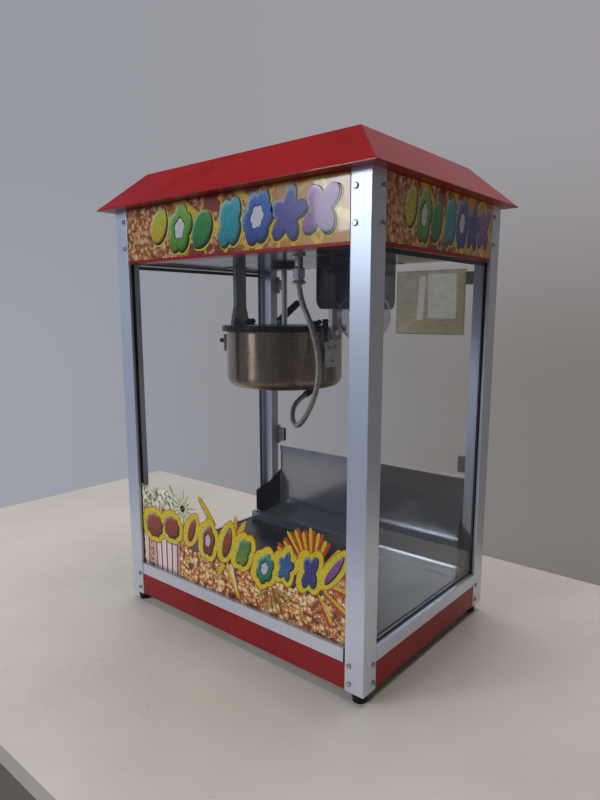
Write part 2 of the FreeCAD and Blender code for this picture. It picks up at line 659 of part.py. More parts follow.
# tipping handle: a bracket on the rear lid and a round grip that rises towards the doors
GRIP_X = KX - 22.0
grip_from = (GRIP_X, KY + 11.0, LID_TOP + 7.5)
grip_to = (GRIP_X, KY + 60.0, 547.0)
grip = rod(grip_from, grip_to, 6.5)
grip = grip.fuse(Part.makeSphere(6.5, V(*grip_to)))
heel = box(GRIP_X - 5, GRIP_X + 5, KY + LID_EDGE + 1, KY + 26, LID_TOP, LID_TOP + 12)
part("tipping_handle", fuse([grip, heel]))


def stirrer():
    """Stirrer: an upright with a driving head and four blades that sweep the pot's floor."""
    post_bar = tube_z(KX, KY, 4.0, POT_Z0 + POT_WALL + 0.6, TILT_Z + 5)
    rest = tube_z(KX, KY, 6.0, TILT_Z + 2.3, TILT_Z + 5.6)
    hub = tube_z(KX, KY, 10.0, POT_Z0 + 6, POT_Z0 + 18)
    blades = []
    for k in range(4):
        blade = box(KX + 6, KX + (76 if k % 2 else 62), KY - 1.2, KY + 1.2, POT_Z0 + 3, POT_Z0 + 13)
        blades.append(turn(blade, (KX, KY, 0), (0, 0, 1), 45 + 90 * k))
    return fuse([post_bar, rest, hub] + blades)


part("stirrer", stirrer())

# ------------------------------------------------------------------ kettle conduit
def conduit_fitting():
    """Turned fitting under the ceiling: a flange, a neck, a hexagon nut and a flared collar round the conduit."""
    def cone(r0, r1, z0, z1):
        return Part.makeCone(r0, r1, z1 - z0, V(COND_X, COND_Y, z0))

    corners = [(COND_X + 9.4 * math.cos(math.radians(60 * k)), COND_Y + 9.4 * math.sin(math.radians(60 * k)),
                CEILING - 34) for k in range(6)]
    return fuse([
        tube_z(COND_X, COND_Y, 6.2, CEILING - 18, CEILING + 14),
        tube_z(COND_X, COND_Y, 10.0, CEILING - 4, CEILING),
        cone(8.6, 6.2, CEILING - 21, CEILING - 18),
        polygon(corners).extrude(V(0, 0, 13)),
        tube_z(COND_X, COND_Y, 7.4, CEILING - 37, CEILING - 34),
        cone(11.0, 8.0, CEILING - 40, CEILING - 37),
        cone(8.0, 11.0, COND_TOP, CEILING - 40),
    ])


part("conduit_fitting", conduit_fitting())


def bent_tube(points, r):
    """Round tube along straight runs joined by tangent arcs; prints each arc's radius."""
    pts = [V(*p) for p in points]
    edges = []
    start = pts[0]
    radii = []
    for i in range(1, len(pts) - 1):
        a, b = pts[i - 1] - pts[i], pts[i + 1] - pts[i]
        turn_angle = math.pi - a.getAngle(b)
        radius = 0.45 * min(a.Length, b.Length) / math.tan(turn_angle / 2)
        cut_back = radius * math.tan(turn_angle / 2)
        ua, ub = V(a).normalize(), V(b).normalize()
        p, q = pts[i] + ua * cut_back, pts[i] + ub * cut_back
        bisector = (ua + ub).normalize()
        centre = pts[i] + bisector * (radius / math.cos(turn_angle / 2))
        middle = centre - bisector * radius
        edges.append(Part.LineSegment(start, p).toShape())
        edges.append(Part.Arc(p, middle, q).toShape())
        start = q
        radii.append(round(radius, 1))
    edges.append(Part.LineSegment(start, pts[-1]).toShape())
    path = Part.Wire(edges)
    ring = Part.Wire(Part.makeCircle(r, pts[0], pts[1] - pts[0]))
    tube = path.makePipeShell([ring], True, False)
    print("arc radii", radii, "length", round(path.Length, 1), "volume over section x length",
          round(tube.Volume / (math.pi * r * r * path.Length), 4))
    return tube


CONDUIT = [(COND_X, COND_Y, COND_TOP), (99.0, -126.0, 549.0), (120.0, -127.0, 514.0), (134.0, -127.0, 468.0),
           (131.0, -124.0, 428.0), (108.0, -114.0, 388.0), (66.0, -92.0, 352.0), (30.0, -66.0, 354.0),
           (11.0, -40.0, 380.0), tuple(GLAND_IN)]
part("kettle_conduit", bent_tube(CONDUIT, COND_R))

# ------------------------------------------------------------------ switches and supply
SW_Z, SW_PITCH, SW_W, SW_H = 655.0, 62.0, 21.0, 28.0
PANEL_Y = HY - 2.0
SUPPLY_X, SUPPLY_Z, SUPPLY_R = 190.0, 650.0, 3.6


def switch_panel():
    """Rear panel of the top box, with three switch openings and the hole for the supply gland."""
    line = [(PANEL_Y - 10, 621.5), (PANEL_Y - PAINTED, 621.5), (PANEL_Y - PAINTED, POST_TOP)]
    body = bent_sheet(line, -PAINTED, -PX, PX)
    for k in range(3):
        x = (k - 1) * SW_PITCH
        body = body.cut(box(x - SW_W / 2, x + SW_W / 2, PANEL_Y - 5, PANEL_Y + 5, SW_Z - SW_H / 2, SW_Z + SW_H / 2))
    return body.cut(rod((SUPPLY_X, PANEL_Y - 5, SUPPLY_Z), (SUPPLY_X, PANEL_Y + 5, SUPPLY_Z), 8.0))


def bezel(x):
    """Square black switch body with a rim that lies on the panel and an open front for the rocker."""
    wall, depth = 1.5, 20.0
    outer = box(x - SW_W / 2, x + SW_W / 2, PANEL_Y - depth, PANEL_Y, SW_Z - SW_H / 2, SW_Z + SW_H / 2)
    rim = box(x - SW_W / 2 - 2, x + SW_W / 2 + 2, PANEL_Y, PANEL_Y + 1.8, SW_Z - SW_H / 2 - 2, SW_Z + SW_H / 2 + 2)
    room = box(x - SW_W / 2 + wall, x + SW_W / 2 - wall, PANEL_Y - depth + 5, PANEL_Y + 5,
               SW_Z - SW_H / 2 + wall, SW_Z + SW_H / 2 - wall)
    return outer.fuse(rim).cut(room).removeSplitter()


ROCK_Y = PANEL_Y - 5.0
ROCK_ANGLE = 9.0


def rocker(x):
    """Rocker key with a slightly hollowed face, standing in its off position."""
    half_w, half_h = SW_W / 2 - 1.9, SW_H / 2 - 2.6
    key = box(x - half_w, x + half_w, ROCK_Y - 4, ROCK_Y + 5.5, SW_Z - half_h, SW_Z + half_h)
    key = key.cut(rod((x - 20, ROCK_Y + 63.9, SW_Z), (x + 20, ROCK_Y + 63.9, SW_Z), 60.0))
    key = key.common(rod((x - 20, ROCK_Y, SW_Z), (x + 20, ROCK_Y, SW_Z), half_h + 0.6))
    return turn(key, (x, ROCK_Y, SW_Z), (1, 0, 0), ROCK_ANGLE)


part("switch_panel", switch_panel())
part("switch_bodies", group([bezel((k - 1) * SW_PITCH) for k in range(3)]))
for k, use in enumerate(("heat", "stir", "light")):
    part(f"rocker_{use}", rocker((k - 1) * SW_PITCH))


def supply_gland():
    """Cable gland in the rear panel: a sleeve, a flange and a tapered nose round the bore for the mains lead."""
    sleeve = rod((SUPPLY_X, PANEL_Y - 14, SUPPLY_Z), (SUPPLY_X, PANEL_Y, SUPPLY_Z), 7.9)
    flange = rod((SUPPLY_X, PANEL_Y, SUPPLY_Z), (SUPPLY_X, PANEL_Y + 4, SUPPLY_Z), 12.0)
    nose = Part.makeCone(9.0, 6.5, 12, V(SUPPLY_X, PANEL_Y + 4, SUPPLY_Z), V(0, 1, 0))
    bore = rod((SUPPLY_X, PANEL_Y - 15, SUPPLY_Z), (SUPPLY_X, PANEL_Y + 17, SUPPLY_Z), SUPPLY_R)
    return fuse([sleeve, flange, nose]).cut(bore)


part("supply_gland", supply_gland())
block = box(140, 200, 40, 64, CEILING + SHEET, CEILING + SHEET + 16)
for k in range(6):
    block = block.cut(tube_z(145 + 10 * k, 52, 2.4, CEILING + 10, CEILING + 20))
part("terminal_block", block)

# ------------------------------------------------------------------ doors
DOOR_Y1 = DOOR_Y0 + DOOR_T
CLAMP_W = 17.0
KNOB_X, KNOB_Z, KNOB_BORE = 14.0, 430.0, 2.5
PIN_R = 2.0


def door(sx):
    """Clear door leaf with its free edge just short of the middle and a hole for the knob."""
    leaf = box(*sorted((sx * 1.5, sx * DOOR_EDGE)), DOOR_Y0, DOOR_Y1, DOOR_Z0, DOOR_Z1)
    return leaf.cut(rod((sx * KNOB_X, DOOR_Y0 - 1, KNOB_Z), (sx * KNOB_X, DOOR_Y1 + 1, KNOB_Z), KNOB_BORE))


def hinge_post(sx, z0, z1):
    """Block screwed to the post, with a pin at each end of the hinge gap."""
    x_post, x_axis = sx * PX, sx * DOOR_AXIS_X
    out = []
    for lo, hi in ((z0, z0 + 6), (z1 - 6, z1)):
        leaf = box(*sorted((x_post, x_axis)), DOOR_AXIS_Y - 2, DOOR_AXIS_Y + 2, lo, hi)
        out.append(leaf.fuse(tube_z(x_axis, DOOR_AXIS_Y, 3.4, lo, hi)))
    pin = tube_z(x_axis, DOOR_AXIS_Y, PIN_R, z0, z1)
    return fuse(out + [pin])


def clamp(sx, z0, z1):
    """Hinge knuckle with two cheeks that grip the edge of the leaf."""
    x_axis = sx * DOOR_AXIS_X
    lo, hi = z0 + 6.3, z1 - 6.3
    knuckle = tube_z(x_axis, DOOR_AXIS_Y, 3.4, lo, hi)
    body = box(*sorted((x_axis - sx * 3.0, x_axis - sx * CLAMP_W)), DOOR_Y0 - 2, DOOR_Y1 + 2, lo, hi)
    neck = box(*sorted((x_axis, x_axis - sx * 3.5)), DOOR_AXIS_Y - 2, DOOR_AXIS_Y + 2, lo, hi)
    body = fuse([knuckle, neck, body])
    body = body.cut(box(*sorted((sx * DOOR_EDGE, sx * (DOOR_EDGE - 60))), DOOR_Y0, DOOR_Y1, lo - 1, hi + 1))
    return body.cut(tube_z(x_axis, DOOR_AXIS_Y, PIN_R + RUN, z0 - 1, z1 + 1))


def door_knob(sx):
    """Turned knob on the outside of the leaf, with its screw through to the inside."""
    def turned(y0, y1, r):
        return rod((sx * KNOB_X, y0, KNOB_Z), (sx * KNOB_X, y1, KNOB_Z), r)

    stem = turned(DOOR_Y0 - 2, DOOR_Y1, KNOB_BORE)
    screw_head = turned(DOOR_Y0 - 2, DOOR_Y0, 4.5)
    base = turned(DOOR_Y1, DOOR_Y1 + 9, 5.0)
    cap_end = turned(DOOR_Y1 + 9, DOOR_Y1 + 19, 9.0)
    rim = [e for e in cap_end.Edges if e.Length > 50 and abs(e.CenterOfMass.y - DOOR_Y1 - 19) < 0.1]
    return fuse([stem, screw_head, base, cap_end.makeFillet(3.0, rim)])


for sx, side in ((-1, "left"), (1, "right")):
    part(f"door_{side}", door(sx))
    part(f"door_fittings_{side}", group([clamp(sx, *HINGE_Z[0]), clamp(sx, *HINGE_Z[1]), door_knob(sx)]))
part("door_hinge_posts", group([hinge_post(sx, *z) for sx in (-1, 1) for z in HINGE_Z]))
LABEL_X, LABEL_Z, LABEL_T = (72.0, 208.0), (492.0, 605.0), 0.5
part("door_label", box(*LABEL_X, DOOR_Y0 - LABEL_T, DOOR_Y0, *LABEL_Z))
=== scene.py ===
"""Countertop popcorn maker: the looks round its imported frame.

Metres. X runs across the front, the front glass faces -Y, the serving doors face +Y and Z is up. The sheet
metal, the glass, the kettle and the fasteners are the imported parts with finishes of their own. The printed
films, the armoured conduit and the lamp's filament are made here.
"""
import json
import math
import bpy
import bmesh
import numpy as np
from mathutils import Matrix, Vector

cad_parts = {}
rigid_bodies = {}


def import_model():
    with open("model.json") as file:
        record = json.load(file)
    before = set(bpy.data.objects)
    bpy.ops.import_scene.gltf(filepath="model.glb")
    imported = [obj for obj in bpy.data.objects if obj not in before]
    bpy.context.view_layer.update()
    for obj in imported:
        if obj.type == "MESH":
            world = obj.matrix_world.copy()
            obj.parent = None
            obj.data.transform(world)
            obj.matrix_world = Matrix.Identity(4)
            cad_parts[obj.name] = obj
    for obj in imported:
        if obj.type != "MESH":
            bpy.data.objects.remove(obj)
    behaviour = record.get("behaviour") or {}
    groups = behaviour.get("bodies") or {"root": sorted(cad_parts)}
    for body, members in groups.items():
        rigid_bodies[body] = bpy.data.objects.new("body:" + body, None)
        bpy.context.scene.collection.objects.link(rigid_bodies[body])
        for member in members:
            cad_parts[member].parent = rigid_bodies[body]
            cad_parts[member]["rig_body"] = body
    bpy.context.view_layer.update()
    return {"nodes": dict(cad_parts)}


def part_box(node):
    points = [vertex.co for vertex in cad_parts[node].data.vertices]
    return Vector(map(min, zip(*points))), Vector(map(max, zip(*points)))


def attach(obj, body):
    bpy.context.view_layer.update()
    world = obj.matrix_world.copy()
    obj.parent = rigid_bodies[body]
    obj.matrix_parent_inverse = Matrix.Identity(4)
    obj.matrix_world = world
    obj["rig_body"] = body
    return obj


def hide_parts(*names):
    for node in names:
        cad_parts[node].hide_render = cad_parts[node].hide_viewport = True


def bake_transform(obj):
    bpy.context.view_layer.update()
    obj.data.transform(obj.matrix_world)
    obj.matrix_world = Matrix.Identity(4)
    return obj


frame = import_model()
MM = 0.001


# ------------------------------------------------------------------ colours
def ink(red, green, blue):
    """A display colour from 0 to 255 as linear light: ((c / 255 + 0.055) / 1.055) to the power 2.4."""
    return tuple(((c / 255 + 0.055) / 1.055) ** 2.4 for c in (red, green, blue))


# ------------------------------------------------------------------ shader maths
class Value:
    """What a node gives out. Each operator on it adds a Math node."""

    def __init__(self, finish, socket):
        self.finish = finish
        self.socket = socket

    def math(self, operation, *others):
        """A Math node on this value and the others."""
        return self.finish.add("ShaderNodeMath", {"operation": operation}, dict(enumerate((self, *others))))

    def __add__(self, other):
        return self.math("ADD", other)

    def __sub__(self, other):
        return self.math("SUBTRACT", other)

    def __rsub__(self, other):
        return self.finish.add("ShaderNodeMath", {"operation": "SUBTRACT"}, {0: other, 1: self})

    def __mul__(self, other):
        return self.math("MULTIPLY", other)

    def __truediv__(self, other):
        return self.math("DIVIDE", other)

    def __pow__(self, other):
        return self.math("POWER", other)

    __radd__ = __add__
    __rmul__ = __mul__

    def rise(self, low, high, bottom=0.0, top=1.0):
        """Smooth step from bottom, at low, to top, at high."""
        return self.finish.add("ShaderNodeMapRange", {"interpolation_type": "SMOOTHSTEP"},
                               {0: self, 1: low, 2: high, 3: bottom, 4: top})


class Finish:
    """One material. Its nodes are made by add()."""

    def __init__(self, name, world=False):
        owner = bpy.data.worlds if world else bpy.data.materials
        self.data = owner.new(name)
        self.data.use_nodes = True
        self.tree = self.data.node_tree
        self.tree.nodes.clear()
        self.end = self.tree.nodes.new("ShaderNodeOutputWorld" if world else "ShaderNodeOutputMaterial")
        self.at = self.add("ShaderNodeTexCoord", out="Generated" if world else "Object")
        self.x, self.y, self.z = (self.add("ShaderNodeSeparateXYZ", values={0: self.at}, out=k)
                                  for k in range(3))

    def add(self, kind, settings=None, values=None, out=0):
        """A node of one kind: its settings first, then the values or links of its sockets."""
        node = self.tree.nodes.new(kind)
        for key, value in (settings or {}).items():
            if key == "stops":
                self.fill(node.color_ramp, value)
            else:
                setattr(node, key, value)
        for key, value in (values or {}).items():
            socket = node.inputs[key]
            if isinstance(value, Value):
                self.tree.links.new(value.socket, socket)
            elif socket.type == "RGBA":
                socket.default_value = (*value, 1.0)
            else:
                socket.default_value = value
        return Value(self, node.outputs[out])

    @staticmethod
    def fill(ramp, stops):
        """Colour stops of a ramp, from (place, colour) pairs."""
        while len(ramp.elements) < len(stops):
            ramp.elements.new(1.0)
        for element, (place, colour) in zip(ramp.elements, stops):
            element.position = place
            element.color = (*colour, 1.0)

    def ramp(self, value, *stops):
        """Colour by a value, from (place, colour) stops."""
        return self.add("ShaderNodeValToRGB", {"stops": stops}, {0: value})

    def mix(self, first, second, share):
        """Colour between two, by a share from 0 to 1."""
        return self.add("ShaderNodeMix", {"data_type": "RGBA"}, {0: share, 6: first, 7: second}, out=2)

    def point(self, x, y, z=0.0):
        """A vector from three values."""
        return self.add("ShaderNodeCombineXYZ", values={0: x, 1: y, 2: z})

    def stretched(self, x, y, z):
        """Object coordinates scaled on each axis, in cells per metre."""
        return self.add("ShaderNodeVectorMath", {"operation": "MULTIPLY"}, {0: self.at, 1: (x, y, z)})

    def noise(self, scale, where=None, detail=3.0, rough=0.5):
        """Noise from 0 to 1, scale cells per metre of Object coordinates unless it is told where."""
        return self.add("ShaderNodeTexNoise", None,
                        {"Vector": where or self.at, "Scale": scale, "Detail": detail, "Roughness": rough})

    def bump(self, height, distance, strength=1.0):
        """Surface relief: height from 0 to 1, over a real depth in metres."""
        return self.add("ShaderNodeBump", None,
                        {"Height": height, "Distance": distance, "Strength": strength})

    def attribute(self, name, out="Fac"):
        """What a mesh stores under a name."""
        return self.add("ShaderNodeAttribute", {"attribute_name": name}, out=out)

    def show(self, shader):
        """Links the last shader to the output and gives the finished material."""
        self.tree.links.new(shader.socket, self.end.inputs["Surface"])
        return self.data

    def surface(self, colour, rough, metal=0.0, relief=None, **uniform):
        """A Principled surface as the whole material."""
        values = {"Base Color": colour, "Roughness": rough, "Metallic": metal}
        if relief:
            values["Normal"] = relief
        values.update({key.replace("_", " "): value for key, value in uniform.items()})
        return self.show(self.add("ShaderNodeBsdfPrincipled", None, values))


# ------------------------------------------------------------------ finishes
def red_enamel():
    """Gloss red enamel on folded sheet: a clear coat, faint orange peel and a slight unevenness of tone."""
    f = Finish("red_enamel")
    tone = f.noise(9, detail=2)
    colour = f.mix(ink(126, 2, 10), ink(142, 6, 14), tone.rise(0.3, 0.7))
    peel = f.noise(260, detail=1)
    wave = f.noise(14, detail=1)
    return f.surface(colour, tone.rise(0.2, 0.8, 0.34, 0.42), relief=f.bump(peel * 0.15 + wave, 0.0012),
                     Coat_Weight=0.22, Coat_Roughness=0.08, Specular_IOR_Level=0.3)


def anodised(name, along):
    """Satin anodised aluminium with fine extrusion lines: noise drawn out 400 times along one axis."""
    f = Finish(name)
    fine = [1400.0, 1400.0, 1400.0]
    fine["xyz".index(along)] = 3.5
    lines = f.noise(1.0, f.stretched(*fine), detail=2)
    cloud = f.noise(7, detail=3)
    colour = f.mix(ink(206, 213, 231), ink(226, 231, 243), lines * 0.5 + cloud * 0.5)
    return f.surface(colour, (lines * 0.6 + cloud * 0.4).rise(0.2, 0.8, 0.32, 0.42), 0.72,
                     f.bump(lines, 0.00005, 0.6))


def black_rubber(name, rough=0.75):
    """Matt black rubber with a fine grain and grey wear."""
    f = Finish(name)
    grain = f.noise(900, detail=2)
    wear = f.noise(60, detail=3)
    colour = f.mix(ink(14, 14, 15), ink(38, 38, 40), wear.rise(0.45, 0.8))
    return f.surface(colour, grain.rise(0.2, 0.8, rough - 0.08, rough + 0.08), relief=f.bump(grain, 0.0001))


def moulded(name, dark, light, rough):
    """Moulded plastic: a little mottled, with a fine leather grain."""
    f = Finish(name)
    grain = f.noise(700, detail=2)
    colour = f.mix(dark, light, f.noise(40, detail=3).rise(0.3, 0.75))
    return f.surface(colour, grain.rise(0.2, 0.8, rough - 0.06, rough + 0.06), relief=f.bump(grain, 0.00006),
                     Coat_Weight=0.15, Coat_Roughness=0.2)


def sheet_steel(name, dark, light, rough, grain=(1800.0, 12.0, 12.0), smears=0.10, relief=0.00003,
                metal=1.0):
    """Bright steel sheet: a brushed grain along one axis under wiped smears that dull it here and there."""
    f = Finish(name)
    lines = f.noise(1.0, f.stretched(*grain), detail=2)
    smear = f.noise(16, detail=4, rough=0.6)
    colour = f.mix(dark, light, lines * 0.4 + smear * 0.6)
    return f.surface(colour, smear.rise(0.35, 0.75, rough, rough + smears) + lines * 0.05, metal,
                     f.bump(lines + f.noise(5, detail=1) * 6, relief))


def spun_steel(name, centre, dark, light, rough):
    """Steel polished on a lathe: fine rings about an upright axis, and faint upright stains."""
    f = Finish(name)
    dx = f.x - centre[0]
    dy = f.y - centre[1]
    radius = (dx * dx + dy * dy) ** 0.5
    turned = f.add("ShaderNodeMath", {"operation": "ARCTAN2"}, {0: dy, 1: dx})
    rings = f.noise(1.0, f.point(radius * 1600, f.z * 1600, turned * 2.2), detail=2)
    stain = f.noise(1.0, f.point(turned * 5.5, f.z * 9, radius * 9), detail=4, rough=0.6)
    colour = f.mix(dark, light, rings * 0.35 + stain.rise(0.3, 0.7) * 0.65)
    return f.surface(colour, (rings * 0.3 + stain * 0.7).rise(0.25, 0.75, rough, rough + 0.1), 1.0,
                     f.bump(rings, 0.000004, 0.7), Anisotropic=0.9, Anisotropic_Rotation=0.25)


def plated(name, rough=0.16, tone=200):
    """Bright plating with slight pitting."""
    f = Finish(name)
    pits = f.noise(320, detail=3)
    colour = f.mix(ink(tone - 34, tone - 36, tone - 38), ink(tone, tone, tone), pits.rise(0.3, 0.7))
    return f.surface(colour, f.noise(90, detail=3).rise(0.3, 0.7, rough, rough + 0.1), 0.9,
                     f.bump(pits, 0.000008))


def enamelled_black(name):
    """Black satin enamel with dust and dull fingermarks."""
    f = Finish(name)
    dust = f.noise(55, detail=5, rough=0.65)
    colour = f.mix(ink(9, 9, 10), ink(30, 30, 32), dust.rise(0.5, 0.85))
    return f.surface(colour, dust.rise(0.3, 0.8, 0.26, 0.42), relief=f.bump(f.noise(420, detail=1), 0.00002),
                     Specular_IOR_Level=0.3)


def cast_iron():
    """Heater plate: dark cast metal, rough and burnt brown in patches."""
    f = Finish("heater_cast")
    burn = f.noise(38, detail=5)
    colour = f.mix(ink(34, 33, 32), ink(92, 70, 52), burn.rise(0.45, 0.75))
    return f.surface(colour, burn.rise(0.3, 0.7, 0.5, 0.75), 0.7, f.bump(f.noise(260, detail=3), 0.0004))


def glazed():
    """White glazed ceramic with a faint crackle."""
    f = Finish("glazed_ceramic")
    crackle = f.add("ShaderNodeTexVoronoi", {"feature": "DISTANCE_TO_EDGE"}, {"Vector": f.at, "Scale": 160.0})
    colour = f.mix(ink(150, 142, 128), ink(222, 216, 204), crackle.rise(0.0, 0.06))
    return f.surface(colour, f.noise(30).rise(0.3, 0.7, 0.18, 0.3), Coat_Weight=0.5, Coat_Roughness=0.05)


def clear_sheet(name, tint, haze=0.015, index=1.45, dust=0.9):
    """Clear pane: light passes straight through with a tint, some is mirrored, and wiped smears haze it.

    s = Layer Weight's Facing, the same from both sides. Mirrored share = base + (1 - base) * s ** 5, with
    base = ((index - 1) / (index + 1)) ** 2.
    """
    f = Finish(name)
    base = ((index - 1) / (index + 1)) ** 2
    facing = f.add("ShaderNodeLayerWeight", None, {"Blend": 0.5}, out="Facing")
    mirrored = facing ** 5.0 * (1 - base) + base
    smear = f.noise(1.0, f.stretched(7, 7, 3), detail=5, rough=0.65)
    through = f.add("ShaderNodeBsdfTransparent", None, {"Color": tint})
    dusty = f.add("ShaderNodeBsdfPrincipled", None,
                  {"Base Color": ink(205, 208, 210), "Roughness": dust})
    hazed = f.add("ShaderNodeMixShader", None,
                  {0: smear.rise(0.45, 0.9, 0.0, haze), 1: through, 2: dusty})
    mirror = f.add("ShaderNodeBsdfPrincipled", None, {
        "Base Color": (0.95, 0.95, 0.95), "Metallic": 1.0, "Roughness": smear.rise(0.4, 0.9, 0.01, 0.06)})
    return f.show(f.add("ShaderNodeMixShader", None, {0: mirrored, 1: hazed, 2: mirror}))


def popped_print(f, across, up, size):
    """Colour of printed popped corn: large puffs and small lobes, pale on top and burnt brown between."""
    where = f.point(across, up)
    wobble = f.add("ShaderNodeTexNoise", None, {"Vector": where, "Scale": 0.55 / size, "Detail": 3.0},
                   out=1)
    push = f.add("ShaderNodeVectorMath", {"operation": "SCALE"}, {0: wobble, 3: size * 1.3})
    moved = f.add("ShaderNodeVectorMath", {"operation": "ADD"}, {0: where, 1: push})
    puffs = f.add("ShaderNodeTexVoronoi", None, {"Vector": moved, "Scale": 1.0 / size})
    lobes = f.add("ShaderNodeTexVoronoi", None, {"Vector": moved, "Scale": 2.7 / size})
    kind = f.add("ShaderNodeTexVoronoi", None, {"Vector": moved, "Scale": 1.0 / size}, out=1)
    buttery = f.add("ShaderNodeSeparateColor", None, {0: kind}) * 0.3
    height = 1.02 - puffs * 0.62 - lobes * 0.42 - buttery + f.noise(3.0 / size, where, detail=2) * 0.25
    return f.ramp(height, (0.1, ink(52, 16, 8)), (0.3, ink(118, 42, 18)), (0.44, ink(186, 106, 34)),
                  (0.56, ink(214, 168, 92)), (0.7, ink(224, 208, 176)), (0.9, ink(232, 230, 222)))


def sign_print(name, axis, middle, width):
    """Printed sign: popped corn at its left, then rust patches, curved yellow strokes and a golden end."""
    f = Finish(name)
    across = ((f.x if axis == "x" else f.y) - middle) / width
    up = f.z
    run = across * 0.46
    corn = popped_print(f, run, up, 0.0085)
    patch = f.noise(1.0, f.point(across * 9, up * 30), detail=3, rough=0.6)
    darker = f.mix(corn, ink(120, 74, 40), 0.42)
    rust = f.mix(darker, ink(112, 40, 20), patch.rise(0.48, 0.56) * across.rise(-0.34, -0.1))
    golden = f.mix(rust, ink(166, 112, 14), (across + patch * 0.16).rise(0.16, 0.4))
    dy = up - 0.664
    dx = run - 0.118
    turned = f.add("ShaderNodeMath", {"operation": "ARCTAN2"}, {0: dy, 1: dx})
    far = (dx * dx + dy * dy) ** 0.5
    swirl = (turned * 11 + far * 30).math("SINE").rise(0.72, 0.86)
    rays = swirl * far.rise(0.02, 0.03) * across.rise(-0.42, -0.2)
    rings = (far * 150 + patch * 5).math("SINE").rise(0.9, 0.97) * across.rise(-0.3, 0.0)
    colour = f.mix(golden, ink(200, 168, 30), (rays.math("MAXIMUM", rings)) * 0.75)
    return f.surface(colour, patch.rise(0.3, 0.8, 0.22, 0.3), relief=f.bump(f.noise(30, detail=1), 0.00025),
                     Coat_Weight=0.5, Coat_Roughness=0.03)


def corn_print(name, size):
    """Printed popped corn on the film that faces the front."""
    f = Finish(name)
    corn = popped_print(f, f.x, f.z, size)
    fresh = f.z.rise(0.165, 0.205) * f.x.rise(-0.15, -0.11, 1.0, 0.0)
    leaves = f.noise(110, detail=3).rise(0.5, 0.56)
    pale = f.mix(ink(226, 228, 220), ink(108, 118, 48), leaves)
    spread = f.noise(70, detail=2).rise(0.4, 0.5, 0.55, 0.95)
    return f.surface(f.mix(corn, pale, fresh * spread), f.noise(50).rise(0.3, 0.7, 0.28, 0.36),
                     Coat_Weight=0.5, Coat_Roughness=0.08)


def tub_print():
    """Striped tub: red-brown bands between hairlines on white, darker towards the tub's sides."""
    f = Finish("tub_print")
    share = f.attribute("across")
    phase = (share * 5.0 + 0.15).math("FRACT")
    band = phase.rise(0.62, 0.66) * (1 - phase.rise(0.9, 0.94))
    hairline = phase.rise(0.22, 0.25) * (1 - phase.rise(0.27, 0.3))
    aside = ((share - 0.5) * (share - 0.5) * 4).rise(0.2, 1.0)
    paper = f.mix(ink(226, 214, 214), ink(186, 160, 168), aside)
    colour = f.mix(paper, ink(140, 38, 30), band.math("MAXIMUM", hairline * 0.8))
    grain = f.noise(220, detail=3)
    return f.surface(colour, grain.rise(0.3, 0.7, 0.3, 0.38), Coat_Weight=0.5, Coat_Roughness=0.08)


def inked(name, gloss=0.3):
    """Printed colour held by each point of the film, with a faint dot grain."""
    f = Finish(name)
    grain = f.noise(420, detail=2)
    shade = f.mix((0.66, 0.66, 0.64), (0.86, 0.86, 0.84), grain.rise(0.3, 0.7))
    colour = f.add("ShaderNodeMix", {"data_type": "RGBA", "blend_type": "MULTIPLY"},
                   {0: 1.0, 6: f.attribute("ink", "Color"), 7: shade}, out=2)
    return f.surface(colour, grain.rise(0.3, 0.7, 0.24, 0.32), Coat_Weight=gloss, Coat_Roughness=0.05)


def amber_film(low, high):
    """Amber film on the door: a grey rule, ruled bars, a dark bar and two pale blocks, painted reflections
    that glow faintly.
    """
    f = Finish("amber_film")
    across = (f.x - low[0]) / (high[0] - low[0])
    up = (f.z - low[2]) / (high[2] - low[2])

    def within(left, right, bottom, top, slant=0.0):
        """Share of a block between four edges, its sides leaning by the slant."""
        moved = across + up * slant
        return (moved.rise(left, left + 0.015) * moved.rise(right, right + 0.015, 1.0, 0.0)
                * up.rise(bottom, bottom + 0.03) * up.rise(top, top + 0.02, 1.0, 0.0))

    edge = (across.math("MINIMUM", 1 - across) * 1.2).math("MINIMUM", up.math("MINIMUM", 1 - up))
    rows = (up * 25).math("FRACT")
    broken = f.noise(1.0, f.stretched(30, 30, 260)).rise(0.35, 0.5)
    bars = rows.rise(0.3, 0.4) * (1 - rows.rise(0.6, 0.7)) * broken
    body = f.mix(ink(198, 186, 146), ink(150, 136, 96), bars * 0.6)
    body = f.mix(body, ink(120, 114, 104), within(0.02, 0.32, 0.46, 0.54) * 0.8)
    # Painted reflection: the two pale blocks stand in for window light mirrored by the film, made patchy by
    # noise and weaker on the bars.
    reflection_patchiness = f.noise(60, detail=3).rise(0.3, 0.7, 0.75, 1.0)
    blocks = within(0.3, 0.39, 0.22, 0.9, -0.04).math("MAXIMUM", within(0.48, 0.88, 0.24, 0.93, 0.02))
    pale = blocks * reflection_patchiness * (1 - bars * 0.25)
    body = f.mix(body, ink(236, 242, 250), pale)
    colour = f.mix(body, ink(112, 114, 120), edge.rise(0.022, 0.028, 1.0, 0.0))
    # The painted reflection also glows by emission, though the film is no lamp.
    glow = f.mix((0, 0, 0), ink(96, 104, 112), pale)
    film = f.add("ShaderNodeBsdfPrincipled", None, {
        "Base Color": colour, "Roughness": 0.3, "Emission Color": glow, "Emission Strength": 1.0})
    through = f.add("ShaderNodeBsdfTransparent", None, {"Color": ink(248, 244, 228)})
    share = f.noise(40, detail=2).rise(0.3, 0.7, 0.32, 0.45)
    return f.show(f.add("ShaderNodeMixShader", None, {0: share, 1: through, 2: film}))


def pale_top():
    """Plain pale table top with the faintest wipe marks."""
    f = Finish("pale_top")
    wipe = f.noise(3.5, detail=5, rough=0.6)
    colour = f.mix(ink(196, 188, 179), ink(206, 198, 189), wipe.rise(0.3, 0.7))
    return f.surface(colour, wipe.rise(0.3, 0.7, 0.26, 0.34))


